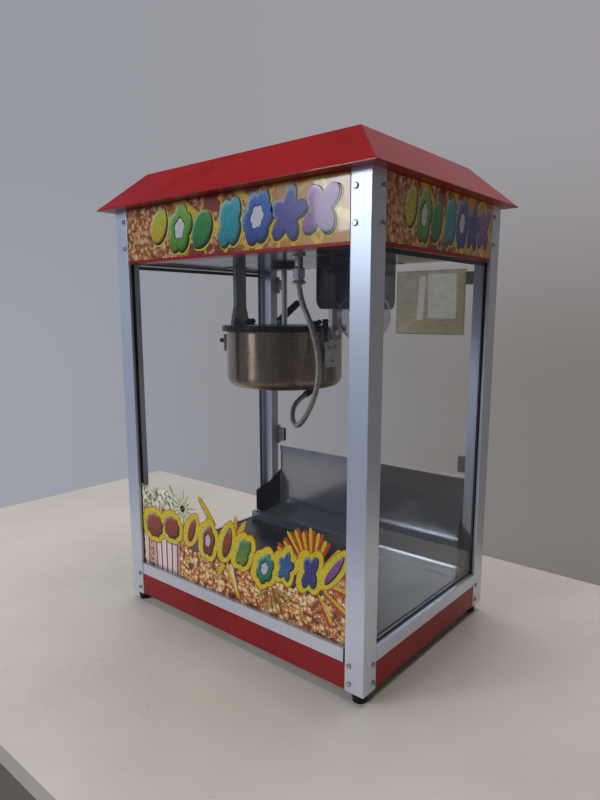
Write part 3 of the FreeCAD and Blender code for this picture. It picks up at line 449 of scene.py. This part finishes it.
# ------------------------------------------------------------------ shapes
def grid_mesh(name, points):
    """Mesh of grids: points[k, i, j] is point (i, j) of grid k, and a face joins each four neighbours."""
    first = np.arange(points[..., 0].size).reshape(points.shape[:3])
    faces = np.stack([first[:, :-1, :-1], first[:, 1:, :-1], first[:, 1:, 1:], first[:, :-1, 1:]], -1)
    mesh = bpy.data.meshes.new(name)
    mesh.from_pydata(points.reshape(-1, 3).tolist(), [], faces.reshape(-1, 4).tolist())
    return mesh


def put_in_scene(name, data):
    """A new object that holds the data, in the scene."""
    placed = bpy.data.objects.new(name, data)
    bpy.context.scene.collection.objects.link(placed)
    return placed


def back(piece, name, thick):
    """Gives a sheet a back that far behind it."""
    backed = piece.modifiers.new(name, "SOLIDIFY")
    backed.thickness = thick
    backed.offset = -1.0


def patches(name, points, body, finish, facts=None, thick=0.0, weld=2e-6):
    """Piece made of one or more grids, riding a body.

    Points that meet are merged, which closes seams and poles. facts are numbers or colours per point. With
    thick, the sheet gets a back that far behind it.
    """
    points = np.asarray(points, float)
    points = points.reshape((-1,) + points.shape[-3:])
    mesh = grid_mesh(name, points)
    for key, values in (facts or {}).items():
        values = np.broadcast_to(values, points.shape[:3] + np.shape(values)[3:])
        if values.ndim == 4:
            layer = mesh.attributes.new(key, "FLOAT_COLOR", "POINT")
            full = np.concatenate([values, np.ones(values.shape[:3] + (1,))], -1)
            layer.data.foreach_set("color", full.astype(np.float32).ravel())
        else:
            layer = mesh.attributes.new(key, "FLOAT", "POINT")
            layer.data.foreach_set("value", values.astype(np.float32).ravel())
    work = bmesh.new()
    work.from_mesh(mesh)
    bmesh.ops.remove_doubles(work, verts=work.verts, dist=weld)
    work.to_mesh(mesh)
    work.free()
    mesh.polygons.foreach_set("use_smooth", np.ones(len(mesh.polygons), bool))
    piece = put_in_scene(name, mesh)
    mesh.materials.append(finish)
    if thick:
        back(piece, "backed", thick)
    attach(piece, body)
    return piece


class Wall:
    """Upright printed face. A point is (across, up) in millimetres, at a given lift in front of it."""

    def __init__(self, origin, across, out):
        self.origin = np.array(origin, float)
        self.across = np.array(across, float)
        self.out = np.array(out, float)

    def lay(self, a, b, lift):
        """Points in space: origin + across * a + up * b + out * lift, for one lift or an array of them."""
        a, b = np.broadcast_arrays(a, b)
        up = np.array([0.0, 0.0, 1.0])
        raised = np.asarray(lift, float)[..., None] * MM * self.out
        return self.origin + a[..., None] * MM * self.across + b[..., None] * MM * up + raised


def lobed(angle, lobes, depth, power, turn):
    """Radius of a puffy or pointed outline: 1 - depth * (1 - |cos(lobes * (angle - turn) / 2)| ** power)."""
    return 1 - depth * (1 - np.abs(np.cos(lobes * (angle - turn) / 2)) ** power)


def leaf(angle, depth, turn):
    """Radius of a drop with its point at turn: 1 - depth * |sin((angle - turn) / 2)| ** 0.8."""
    return 1 - depth * np.abs(np.sin((angle - turn) / 2)) ** 0.8


RINGS = np.array((0, 0.3, 0.55, 0.7, 0.8, 0.87, 0.93, 0.97, 1.0))[:, None]
AROUND = np.linspace(0, 2 * np.pi, 97)


def discs(shapes, grow=0.0, shift=(0.0, 0.0)):
    """Flat shapes as polar grids, one ring per share in RINGS and one spoke per angle in AROUND.

    Point = centre + shift + share * (radius(angle) * half size + grow) * (cos, sin), sheared by the lean.
    """
    out = []
    for s in shapes:
        radius = s["edge"](AROUND)
        a = np.cos(AROUND) * (radius * s["half"][0] + grow)
        b = np.sin(AROUND) * (radius * s["half"][1] + grow)
        a = RINGS * (a + s["lean"] * b)
        b = RINGS * b
        out.append(np.stack([s["at"][0] + shift[0] + a, s["at"][1] + shift[1] + b], -1))
    flat = np.array(out)
    return flat[..., 0], flat[..., 1]


def sticks(rows, steps=14, across=6):
    """Tapered strips (start, end, start width, end width), half width * (1 - (2 s - 1) ** 8) ** 0.5 at s."""
    s = np.linspace(0, 1, steps)[:, None]
    t = np.linspace(-1, 1, across)[None, :]
    out = []
    for start, end, wide, narrow in rows:
        p = np.array(start, float)
        q = np.array(end, float)
        along = (q - p) / np.linalg.norm(q - p)
        side = np.array([-along[1], along[0]])
        half = 0.5 * (wide + (narrow - wide) * s) * np.sqrt(np.clip(1 - (2 * s - 1) ** 8, 0, 1))
        out.append(p + (q - p) * s[..., None] + side * (half * t)[..., None])
    flat = np.array(out)
    return flat[..., 0], flat[..., 1]


# ------------------------------------------------------------------ printed signs
LIGHT_FROM = math.radians(130)
SIGN_HUES = (
    (ink(206, 150, 44), ink(176, 190, 40)), (ink(72, 132, 34), ink(120, 176, 60)),
    (ink(24, 110, 62), ink(70, 150, 74)), (ink(24, 128, 140), ink(40, 160, 176)),
    (ink(14, 60, 138), ink(30, 100, 190)), (ink(36, 42, 128), ink(66, 60, 150)),
    (ink(108, 52, 130), ink(146, 78, 160)))
SIGN_ROW = 659.5
SIGN_FIRST = -148
SIGN_PITCH = 55.2
SIGN_TALL = 37.0
SIGN_WIDE = (30, 28, 31, 25, 29, 33, 33)
SIGN_GLOW = ink(214, 188, 30)
HOLLOW = 0.42
INK_THICK = 0.00003
INK_LAYER = 0.06


def bevelled(low, high, share, angle, up):
    """Ink of a shape printed as if raised: a tone that runs upwards, a lit rim and a dark rim opposite.

    Tone = low + (high - low) * up. Rim = smooth step of the ring's share from 0.72 to 0.95, times the cosine
    of the angle from the light.
    """
    tone = np.array(low) + (np.array(high) - np.array(low)) * np.clip(up, 0, 1)[..., None]
    step = np.clip((share - 0.72) / 0.23, 0, 1)
    rim = step * step * (3 - 2 * step) * np.cos(angle - LIGHT_FROM)
    lit = np.clip(rim, 0, 1)[..., None]
    shaded = np.clip(-rim, 0, 1)[..., None]
    return tone * (1 - 0.55 * shaded) * (1 - 0.45 * lit) + 0.45 * lit * np.array(ink(226, 236, 226))


def sign_shapes(squeeze):
    """The seven leaning shapes of a sign: drops, puffs, a leaf and stars, in a row at even steps."""
    edges = (
        lambda t: leaf(t, 0.5, 1.0), lambda t: lobed(t, 5, 0.2, 0.8, 0.3), lambda t: leaf(t, 0.45, 4.1),
        lambda t: lobed(t, 4, 0.3, 0.7, 0.9), lambda t: lobed(t, 6, 0.2, 0.8, 0.1),
        lambda t: lobed(t, 5, 0.46, 1.3, 1.5), lambda t: lobed(t, 4, 0.5, 1.2, 0.75))
    return [{"edge": edge, "at": ((SIGN_FIRST + SIGN_PITCH * k) * squeeze, SIGN_ROW - 1.5 * (k % 2)),
             "half": (SIGN_WIDE[k] * squeeze, SIGN_TALL), "lean": 0.16 * squeeze, "hue": SIGN_HUES[k]}
            for k, edge in enumerate(edges)]


def ink_film(name, wall, a, b, lift, colours, thick=INK_THICK):
    """Printed film at one lift, or a lift per shape, in one colour or in a colour per point."""
    tones = np.broadcast_to(np.array(colours), a.shape + (3,))
    patches(name, wall.lay(a, b, lift), "cabinet", INKED, {"ink": tones}, thick=thick)


def print_shapes(prefix, wall, shapes, lift, glow_ink, glow, shade_shift, hearts=()):
    """Films for a row of shapes: a wide glow, a dark shadow to one side, the shapes, and hollows in some."""
    a, b = discs(shapes, grow=glow, shift=(shade_shift[0] * 1.6, shade_shift[1] * 1.6))
    ink_film(prefix + "_glow", wall, a, b, lift, glow_ink)
    a, b = discs(shapes, grow=1.2, shift=shade_shift)
    ink_film(prefix + "_shadow", wall, a, b, lift + INK_LAYER, ink(18, 26, 32))
    a, b = discs(shapes)
    tones = [bevelled(*s["hue"], RINGS, AROUND, (b[k] - s["at"][1]) / (2 * s["half"][1]) + 0.5)
             for k, s in enumerate(shapes)]
    ink_film(prefix + "_shapes", wall, a, b, lift + 2 * INK_LAYER, tones)
    if hearts:
        small = [dict(shapes[k], half=tuple(HOLLOW * h for h in shapes[k]["half"])) for k in hearts]
        a, b = discs(small, grow=1.6, shift=(-0.8, 0.8))
        ink_film(prefix + "_heart_edges", wall, a, b, lift + 3 * INK_LAYER, ink(16, 40, 40))
        a, b = discs(small)
        ink_film(prefix + "_hearts", wall, a, b, lift + 4 * INK_LAYER, ink(206, 200, 212))


def make_signs():
    """The shapes and the printed ground of the front sign and the two side signs."""
    low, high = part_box("sign_front")
    middle = (low.x + high.x) / 2
    width = high.x - low.x
    front = Wall((middle, low.y, 0), (1, 0, 0), (0, -1, 0))
    print_shapes("front_sign", front, sign_shapes(1.0), 0.05, SIGN_GLOW, 2.5, (2.4, -2.2), (1, 4))
    finish(sign_print("sign_print_front", "x", middle, width), "sign_front")
    low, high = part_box("signs_side")
    squeeze = (high.y - low.y) / width
    for side, turn in (("right", 1), ("left", -1)):
        wall = Wall(((high.x if turn > 0 else low.x), (low.y + high.y) / 2, 0), (0, turn, 0), (turn, 0, 0))
        print_shapes(side + "_sign", wall, sign_shapes(squeeze), 0.05, SIGN_GLOW, 2.0, (1.8, -2.0), (1, 4))
    finish(sign_print("sign_print_side", "y", (low.y + high.y) / 2, high.y - low.y), "signs_side")


# ------------------------------------------------------------------ printed film on the front glass
FILM_END = 227.5


def step(x, low, high):
    """Smooth step from 0, at low, to 1, at high."""
    t = np.clip((x - low) / (high - low), 0, 1)
    return t * t * (3 - 2 * t)


def heap_top(x):
    """Upper edge of the printed heap, in millimetres: high over the tub, low in the middle, up at the right.

    165 + 58 * (1 - step(-152, -118)) - 34 * step(-118, -100) + 42 * step(176, 214), plus lumps: |sin| of two
    sizes.
    """
    lumps = 3.6 * np.abs(np.sin(x / 4.6)) + 2.4 * np.abs(np.sin(x / 2.7 + 1))
    tub_rise = 58 * (1 - step(x, -152, -118)) - 34 * step(x, -118, -100)
    return 165 + tub_rise + 42 * step(x, 176, 214) + lumps


def make_film():
    """The film low on the front glass: the heap of corn, the striped tubs, the rays and the shapes."""
    low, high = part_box("front_decal")
    glass_face = high.y
    wall = Wall((0, glass_face, 0), (1, 0, 0), (0, -1, 0))
    x = np.linspace(low.x / MM, high.x / MM, 560)[None, :, None]
    share = np.linspace(0, 1, 12)[None, None, :]
    bottom = low.z / MM
    up = bottom + (heap_top(x) - bottom) * share
    heap = patches("film_corn_heap", wall.lay(x, up, 0.08), "cabinet", corn_print("corn_print", 0.0075),
                   thick=0.00006)
    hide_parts("front_decal")
    # striped tubs: the far one is cut off by the film's edge
    across = np.linspace(0, 1, 40)[None, :, None]
    tall = np.linspace(0, 1, 10)[None, None, :]
    tubs = []
    for left, right, lean in ((-FILM_END, -206.0, 3.0), (-204.0, -124.0, 5.0)):
        a = left + lean * (1 - tall) + (right - left - 2 * lean * (1 - tall)) * across
        b = bottom + (178 - bottom) * tall + 2.2 * np.abs(np.sin(across * 16)) * tall
        tubs.append(wall.lay(a, b, 0.14)[0])
    shares = np.stack([np.broadcast_to(part, (40, 10)) for part in (0.75 + 0.25 * across[0], across[0])])
    patches("film_tubs", np.array(tubs), "cabinet", tub_print(), {"across": shares}, thick=INK_THICK)
    make_rays(wall)
    make_film_shapes(wall)


def ray_film(name, wall, rows, colour, lift):
    """One film of tapered strips of a single colour."""
    a, b = sticks(rows)
    ink_film(name, wall, a, b, lift, colour)


def fan(centre, angles, reach, root, wide, narrow):
    """Strips that spread from a centre: from root to reach along each angle in degrees."""
    rows = []
    for k, degrees in enumerate(angles):
        way = np.array([math.cos(math.radians(degrees)), math.sin(math.radians(degrees))])
        far = reach[k % len(reach)]
        rows.append((np.array(centre) + way * root, np.array(centre) + way * far, narrow, wide))
    return rows


def make_rays(wall):
    """Starbursts, bursts and crossed sticks behind the shapes, each yellow stick with a red edge."""
    lime = fan((-115, 203), range(10, 370, 24), (36, 24, 30), 6, 1.0, 4.0)
    ray_film("film_star_lime", wall, lime, ink(150, 178, 44), 0.2)
    pale = fan((-115, 203), range(0, 360, 20), (19, 13), 1, 0.6, 4.5)
    ray_film("film_star_pale", wall, pale, ink(224, 232, 214), 0.24)
    ray_film("film_tendrils", wall, [((-149, 238), (-136, 219), 5.5, 2.5), ((-112, 190), (-116, 150), 5, 3)],
             ink(170, 178, 70), 0.26)
    crossed = [((-74, 233), (-34, 188), 8, 12), ((-33, 103), (37, 216), 9, 10), ((15, 219), (10, 168), 5, 9),
               ((-12, 150), (20, 80), 22, 7)]
    edged = [(start, end, wide + 2.4, narrow + 2.4) for start, end, wide, narrow in crossed]
    ray_film("film_stick_edges", wall, edged, ink(186, 62, 26), 0.26)
    ray_film("film_sticks", wall, crossed, ink(226, 186, 36), 0.3)
    ray_film("film_stick_light", wall, [((-4, 150), (14, 92), 12, 3), ((-6, 128), (24, 192), 4, 3)],
             ink(236, 228, 196), 0.34)
    burst = (166, 160)
    tall = (150, 136, 122, 110, 98, 86, 74, 62, 42, 18, -8, -34, -62)
    ray_film("film_burst_red", wall, fan(burst, tall, (74, 70, 72), 20, 9, 4), ink(192, 66, 28), 0.26)
    yellow = fan(burst, [angle + 5 for angle in tall], (72, 68, 75), 22, 7, 3)
    ray_film("film_burst_yellow", wall, yellow, ink(226, 190, 34), 0.3)
    lower = (86, 122)
    red = fan(lower, (-118, -84, -50, -22), (38, 34), 8, 5, 2.5)
    ray_film("film_lower_red", wall, red, ink(188, 78, 40), 0.26)
    lime = fan(lower, (-140, -100, -66, -36, -8), (40, 44, 40), 10, 4, 2.5)
    ray_film("film_lower_lime", wall, lime, ink(140, 172, 54), 0.3)


def make_film_shapes(wall):
    """Ten lobed and pointed shapes in thick yellow glows with thin red edges."""
    rust = (ink(118, 34, 26), ink(166, 62, 44))
    leafy = (ink(120, 150, 40), ink(44, 124, 62))
    sea = (ink(34, 118, 60), ink(30, 130, 142))
    blue = (ink(22, 112, 160), ink(34, 66, 140))
    indigo = (ink(38, 42, 120), ink(52, 44, 132))
    violet = (ink(112, 50, 126), ink(150, 84, 160))
    rows = (
        ((-196, 157), (24, 22), 0, rust, lambda t: lobed(t, 9, 0.12, 0.8, 0.2)),
        ((-147, 163), (21, 20), 0, rust, lambda t: lobed(t, 9, 0.12, 0.8, 0.2)),
        ((-95, 166), (11, 26), 0.3, rust, lambda t: leaf(t, 0.4, 1.3)),
        ((-52, 162), (15, 27), 0.1, rust, lambda t: lobed(t, 5, 0.2, 0.8, 0.2)),
        ((-9, 164), (13, 33), 0.28, rust, lambda t: leaf(t, 0.42, 1.6)),
        ((29, 163), (15, 25), 0.3, leafy, lambda t: lobed(t, 4, 0.28, 0.8, 0.7)),
        ((75, 149), (17, 25), 0.25, sea, lambda t: lobed(t, 6, 0.2, 0.8, 0.5)),
        ((117, 164), (15, 24), 0.2, blue, lambda t: lobed(t, 5, 0.42, 1.2, 1.5)),
        ((163, 168), (16, 30), 0.18, indigo, lambda t: lobed(t, 4, 0.46, 1.2, 0.9)),
        ((203, 178), (9, 29), 0.62, violet, lambda t: leaf(t, 0.35, 1.5)),
    )
    shapes = [{"at": at, "half": half, "lean": lean, "hue": hue, "edge": edge}
              for at, half, lean, hue, edge in rows]
    gold = ink(228, 204, 24)
    for name, grow, colour, lift in (("film_glow_edges", 12.5, ink(196, 84, 28), 0.38),
                                     ("film_glows", 11.0, gold, 0.42)):
        a, b = discs(shapes, grow=grow)
        levels = lift + 0.002 * np.arange(len(shapes))[:, None, None]
        ink_film(name, wall, np.minimum(a, FILM_END), b, levels, colour, thick=0.00001)
    print_shapes("film", wall, shapes, 0.46, gold, 3.0, (1.2, -0.8), (3, 6))


# ------------------------------------------------------------------ conduit
HOSE = [(0.096, -0.126, 0.5705), (0.099, -0.126, 0.549), (0.120, -0.127, 0.514), (0.134, -0.127, 0.468),
        (0.131, -0.124, 0.428), (0.108, -0.114, 0.388), (0.066, -0.092, 0.352), (0.030, -0.066, 0.354),
        (0.011, -0.040, 0.380), (0.010, -0.006, 0.3912)]
HOSE_R = 0.0043
RIB = 0.0030


def route_points(points):
    """The smooth line of a NURBS curve with these control points, as an array."""
    curve = bpy.data.curves.new("route", "CURVE")
    curve.dimensions = "3D"
    curve.resolution_u = 40
    spline = curve.splines.new("NURBS")
    spline.points.add(len(points) - 1)
    spline.points.foreach_set("co", np.array([(*p, 1.0) for p in points]).ravel())
    spline.order_u = 3
    spline.use_endpoint_u = True
    line = put_in_scene("route", curve)
    bpy.context.view_layer.update()
    mesh = bpy.data.meshes.new_from_object(line.evaluated_get(bpy.context.evaluated_depsgraph_get()))
    found = np.array([v.co for v in mesh.vertices])
    bpy.data.objects.remove(line)
    return found


def make_conduit():
    """Armoured hose, s along its route: radius = R * (1 - 0.13 * |sin(pi * s / rib - angle / 2)| ** 3)."""
    line = route_points(HOSE)
    gaps = np.linalg.norm(np.diff(line, axis=0), axis=1)
    s_line = np.concatenate([[0], np.cumsum(gaps)])
    total = float(s_line[-1])
    s = np.linspace(0, total, int(total / RIB * 7))
    path = np.stack([np.interp(s, s_line, line[:, k]) for k in range(3)], -1)
    along = np.gradient(path, axis=0)
    smooth = np.ones(9) / 9
    padded = np.pad(along, ((4, 4), (0, 0)), mode="edge")
    along = np.stack([np.convolve(padded[:, k], smooth, "valid") for k in range(3)], -1)
    along /= np.linalg.norm(along, axis=1)[:, None]
    side = np.cross(along, (0.8, 0.55, 0.2))
    side /= np.linalg.norm(side, axis=1)[:, None]
    other = np.cross(along, side)
    angle = np.linspace(0, 2 * np.pi, 21)[None, :]
    rib = np.abs(np.sin(np.pi * s[:, None] / RIB - angle / 2)) ** 3
    radius = HOSE_R * (1 - 0.13 * rib)
    radius[0] = radius[-1] = 0
    ring = np.cos(angle)[..., None] * side[:, None] + np.sin(angle)[..., None] * other[:, None]
    points = path[:, None] + radius[..., None] * ring
    # Groove depth per point, which the hose's finish turns into painted shade.
    grooves = np.broadcast_to(rib, radius.shape)[None]
    hose = patches("kettle_conduit_hose", points[None], "cabinet", hose_steel(),
                   {"groove": grooves})
    # The hose runs between two bodies, so it leaves the one that patches() gave it.
    hose.parent = None
    del hose["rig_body"]
    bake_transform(hose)
    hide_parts("kettle_conduit")


def hose_steel():
    """Bright galvanised strip, dull and dark down in its grooves, the dark being painted shade."""
    f = Finish("hose_steel")
    grime = f.noise(120, detail=3)
    # Painted shade: the strip's colour darkens as the groove deepens.
    colour = f.mix(ink(206, 200, 192), ink(78, 72, 66), f.attribute("groove").rise(0.25, 0.9))
    return f.surface(colour, grime.rise(0.3, 0.7, 0.26, 0.4), 0.86, f.bump(grime, 0.00004))


# ------------------------------------------------------------------ lamp
def lathe(name, profile, centre, body, finish, turns=40):
    """Turned solid: each (radius, height) of the profile carried round an upright axis through the centre."""
    profile = np.array(profile, float)
    angle = np.linspace(0, 2 * np.pi, turns + 1)[None, :]
    r, height = profile[:, :1], profile[:, 1:]
    points = np.stack(np.broadcast_arrays(centre[0] + r * np.cos(angle), centre[1] + r * np.sin(angle),
                                          centre[2] + height), -1)
    return patches(name, points[None, ::-1], body, finish)


def tube(name, path, radius, body, finish, turns=10):
    """Round wire: a circle of one radius carried along a path, its ends drawn to a point."""
    path = np.array(path, float)
    along = np.gradient(path, axis=0)
    along /= np.linalg.norm(along, axis=1)[:, None]
    side = np.cross(along, (0.31, 0.93, 0.17))
    side /= np.linalg.norm(side, axis=1)[:, None]
    other = np.cross(along, side)
    angle = np.linspace(0, 2 * np.pi, turns + 1)[None, :, None]
    size = np.full((len(path), 1, 1), radius)
    size[0] = size[-1] = 0
    points = path[:, None] + size * (np.cos(angle) * side[:, None] + np.sin(angle) * other[:, None])
    return patches(name, points[None], body, finish)


def make_lamp():
    """Glass stem, two lead wires and a coiled filament inside the bulb."""
    low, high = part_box("lamp_bulb")
    centre = ((low.x + high.x) / 2, (low.y + high.y) / 2, 0.525)
    stem = [(0, 0.082), (0.0075, 0.08), (0.0068, 0.062), (0.0042, 0.046), (0.0035, 0.03), (0.0048, 0.027),
            (0.0042, 0.024), (0, 0.0235)]
    lathe("lamp_stem", stem, centre, "cabinet", clear_sheet("stem_glass", (0.86, 0.88, 0.88), 0.2))
    wire = plated("lead_wire", 0.25, 180)
    for turn, side in ((-1, "left"), (1, "right")):
        path = [(centre[0] + turn * (0.002 + 0.012 * t * t), centre[1], centre[2] + 0.03 - 0.02 * t)
                for t in np.linspace(0, 1, 10)]
        tube("lamp_lead_" + side, path, 0.0005, "cabinet", wire)
    t = np.linspace(-1, 1, 240)
    coil = np.stack([centre[0] + 0.014 * t, centre[1] + 0.0011 * np.cos(t * 80),
                     centre[2] + 0.010 - 0.005 * (1 - t * t) + 0.0011 * np.sin(t * 80)], -1)
    tube("lamp_filament", coil, 0.00028, "cabinet", plated("tungsten", 0.4, 130), turns=6)


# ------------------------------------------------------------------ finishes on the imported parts
def finish(material, *nodes):
    """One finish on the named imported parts."""
    for node in nodes:
        mesh = frame["nodes"][node].data
        mesh.materials.clear()
        mesh.materials.append(material)


def finish_parts():
    """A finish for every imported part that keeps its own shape, but for the signs."""
    kettle_low, kettle_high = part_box("kettle_pot")
    kettle = ((kettle_low.x + kettle_high.x) / 2, (kettle_low.y + kettle_high.y) / 2)
    enamel = red_enamel()
    finish(enamel, "roof", "fascia_front", "fascias_side", "base_panels_ends", "base_panels_side",
           "switch_panel")
    finish(anodised("anodised_upright", "z"), "post_front_left", "post_rear_left", "post_front_right",
           "post_rear_right")
    finish(anodised("anodised_across", "x"), "rails_ends")
    finish(anodised("anodised_deep", "y"), "rails_side")
    finish(black_rubber("foot_rubber"), "feet")
    finish(black_rubber("seal_rubber", 0.55), "glass_seals")
    glass = clear_sheet("front_glass", (0.997, 0.998, 0.998), 0.006, 1.32)
    finish(glass, "glass_front", "glass_left", "glass_right")
    finish(clear_sheet("door_acrylic", (0.996, 0.997, 0.998), 0.012, 1.32), "door_left", "door_right")
    finish(clear_sheet("bulb_glass", (0.9, 0.91, 0.92), 0.9, 1.6, 0.5), "lamp_bulb")
    low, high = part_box("door_label")
    finish(amber_film(low, high), "door_label")
    finish(sheet_steel("mirror_steel", ink(52, 50, 49), ink(76, 74, 73), 0.07, smears=0.1, relief=0.000004),
           "ceiling_plate")
    upright = (10.0, 10.0, 1800.0)
    finish(sheet_steel("deck_steel", ink(96, 95, 93), ink(124, 123, 121), 0.26, (14.0, 1800.0, 14.0), 0.1,
                       0.000001), "deck")
    finish(sheet_steel("apron_steel", ink(140, 144, 152), ink(172, 176, 184), 0.12, upright, 0.05,
                       0.000004, 0.8), "rear_apron", "kernel_trough")
    finish(sheet_steel("wing_steel", ink(60, 56, 52), ink(92, 86, 80), 0.2, upright, 0.1, 0.00001),
           "apron_wings")
    finish(sheet_steel("shield_steel", ink(130, 130, 134), ink(160, 160, 164), 0.05, relief=0.000004),
           "lamp_shield")
    finish(sheet_steel("zinc_sheet", ink(120, 124, 130), ink(176, 180, 186), 0.4), "base_pan")
    finish(spun_steel("kettle_steel", kettle, ink(122, 102, 84), ink(184, 166, 145), 0.24), "kettle_pot")
    finish(enamelled_black("lid_enamel"), "lid_rear", "lid_front")
    finish(plated("bracket_plate", 0.28, 190), "motor_bracket", "hanger_left", "hanger_right",
           "kettle_crossbar", "stirrer")
    finish(plated("bright_plate", 0.34, 232), "trunnion_brackets")
    finish(plated("bright_chrome", 0.06, 226), "drive_shaft", "conduit_fitting")
    finish(plated("screw_steel", 0.2, 206), "post_screws", "kettle_screws", "door_hinge_posts")
    finish(plated("fitting_metal", 0.3, 176), "door_fittings_left", "door_fittings_right")
    finish(cast_iron(), "heater_plate")
    finish(glazed(), "lamp_holder")
    finish(moulded("motor_shell", ink(30, 32, 34), ink(56, 58, 60), 0.5), "gear_motor")
    finish(moulded("black_grip", ink(16, 16, 17), ink(34, 34, 36), 0.42), "tipping_handle", "latch_knob",
           "shaft_bush", "supply_gland", "switch_bodies")
    finish(moulded("red_key", ink(150, 14, 16), ink(184, 30, 26), 0.25), "rocker_heat", "rocker_light")
    finish(moulded("green_key", ink(20, 104, 44), ink(40, 140, 66), 0.25), "rocker_stir")
    finish(moulded("terminal_resin", ink(196, 190, 170), ink(222, 218, 202), 0.55), "terminal_block")


# ------------------------------------------------------------------ studio
TABLE_X = (-0.995, 1.35)
TABLE_FRONT = -0.535
TABLE_DEEP = 0.966
TABLE_THICK = 0.028
CAMERA_AT = (0.67895, -0.81748, 0.52977)
CAMERA_DOWN = 9.787
CAMERA_TURN = 40.039
CAMERA_LENS = 27.553
CAMERA_SHIFT = 0.02355


def lamp(name, place, target, width, height, power, colour, mirrored=True):
    """Rectangular soft light on a target, unseen by the camera. Glossy surfaces show it if mirrored."""
    data = bpy.data.lights.new(name, "AREA")
    data.shape = "RECTANGLE"
    data.size = width
    data.size_y = height
    data.energy = power
    data.color = colour
    light = put_in_scene(name, data)
    light.location = place
    light.rotation_euler = (Vector(target) - Vector(place)).to_track_quat("-Z", "Y").to_euler()
    light.visible_camera = False
    light.visible_glossy = mirrored
    return light


def backdrop():
    """Studio surround: a pale wall behind, cooler to the left of the view and warmer to its right.

    Wall's share = smooth step, from 0.1 to 0.75, of the direction times (-0.643, 0.766, 0). What is aside of
    it is blue-grey at the left and dark at the right. Above, it darkens as z - 0.3 * y goes from 0.3 to 0.62,
    and below, as z goes from -0.3 to -0.6.
    """
    f = Finish("studio_surround", world=True)
    facing = f.x * -0.643 + f.y * 0.766
    across = f.x * 0.766 + f.y * 0.643
    low = f.mix(ink(158, 161, 170), ink(125, 120, 116), across.rise(-0.5, 0.45))
    high = f.mix(ink(150, 153, 160), ink(158, 155, 160), across.rise(-0.5, 0.45))
    wall = f.mix(low, high, f.z.rise(-0.12, 0.3))
    aside = f.mix(ink(112, 120, 138), ink(66, 64, 62), (f.x + f.y * 0.5).rise(-0.6, 0.3))
    lit = f.mix(aside, wall, facing.rise(0.1, 0.75))
    above = f.mix(lit, ink(66, 64, 66), (f.z - f.y * 0.3).rise(0.3, 0.62))
    below = f.mix(above, ink(90, 86, 82), f.z.rise(-0.6, -0.3, 1.0, 0.0))
    f.show(f.add("ShaderNodeBackground", None, {"Color": below, "Strength": 1.0}))
    bpy.context.scene.world = f.data


def studio():
    """Table top, surround, soft lights and the camera."""
    backdrop()
    x = np.linspace(*TABLE_X, 40)[None, :, None]
    y = (TABLE_FRONT + TABLE_DEEP * np.linspace(0, 1, 20))[None, None, :]
    x, y = np.broadcast_arrays(x, y)
    mesh = grid_mesh("table_top", np.stack([x, y, np.zeros_like(x)], -1))
    mesh.materials.append(pale_top())
    top = put_in_scene("table_top", mesh)
    back(top, "board", TABLE_THICK)
    lamp("window_light", (-1.12, -2.19, 1.15), (0.1, 0.0, 0.4), 0.5, 0.42, 8, (0.86, 0.93, 1.0))
    lamp("front_light", (-0.9, -2.4, 1.5), (0.1, 0.0, 0.3), 1.6, 1.2, 38, (0.9, 0.95, 1.0), mirrored=False)
    lamp("right_light", (2.3, -0.5, 0.3), (0.2, 0.0, 0.0), 1.2, 0.5, 5, (1.0, 0.95, 0.9), mirrored=False)
    lamp("ceiling_light", (-0.1, 0.3, 2.6), (0.0, 0.0, 0.0), 2.4, 2.0, 59, (1.0, 0.975, 0.95),
         mirrored=False)
    camera_data = bpy.data.cameras.new("camera")
    camera_data.sensor_width = 36.0
    camera_data.lens = CAMERA_LENS
    camera_data.shift_y = CAMERA_SHIFT
    camera_data.clip_start = 0.01
    camera = put_in_scene("camera", camera_data)
    camera.location = CAMERA_AT
    camera.rotation_euler = (math.radians(90 - CAMERA_DOWN), 0.0, math.radians(CAMERA_TURN))
    bpy.context.scene.camera = camera
    bpy.context.scene.view_settings.view_transform = "Standard"


studio()
INKED = inked("inked_film")
finish_parts()
make_signs()
make_film()
make_conduit()
make_lamp()
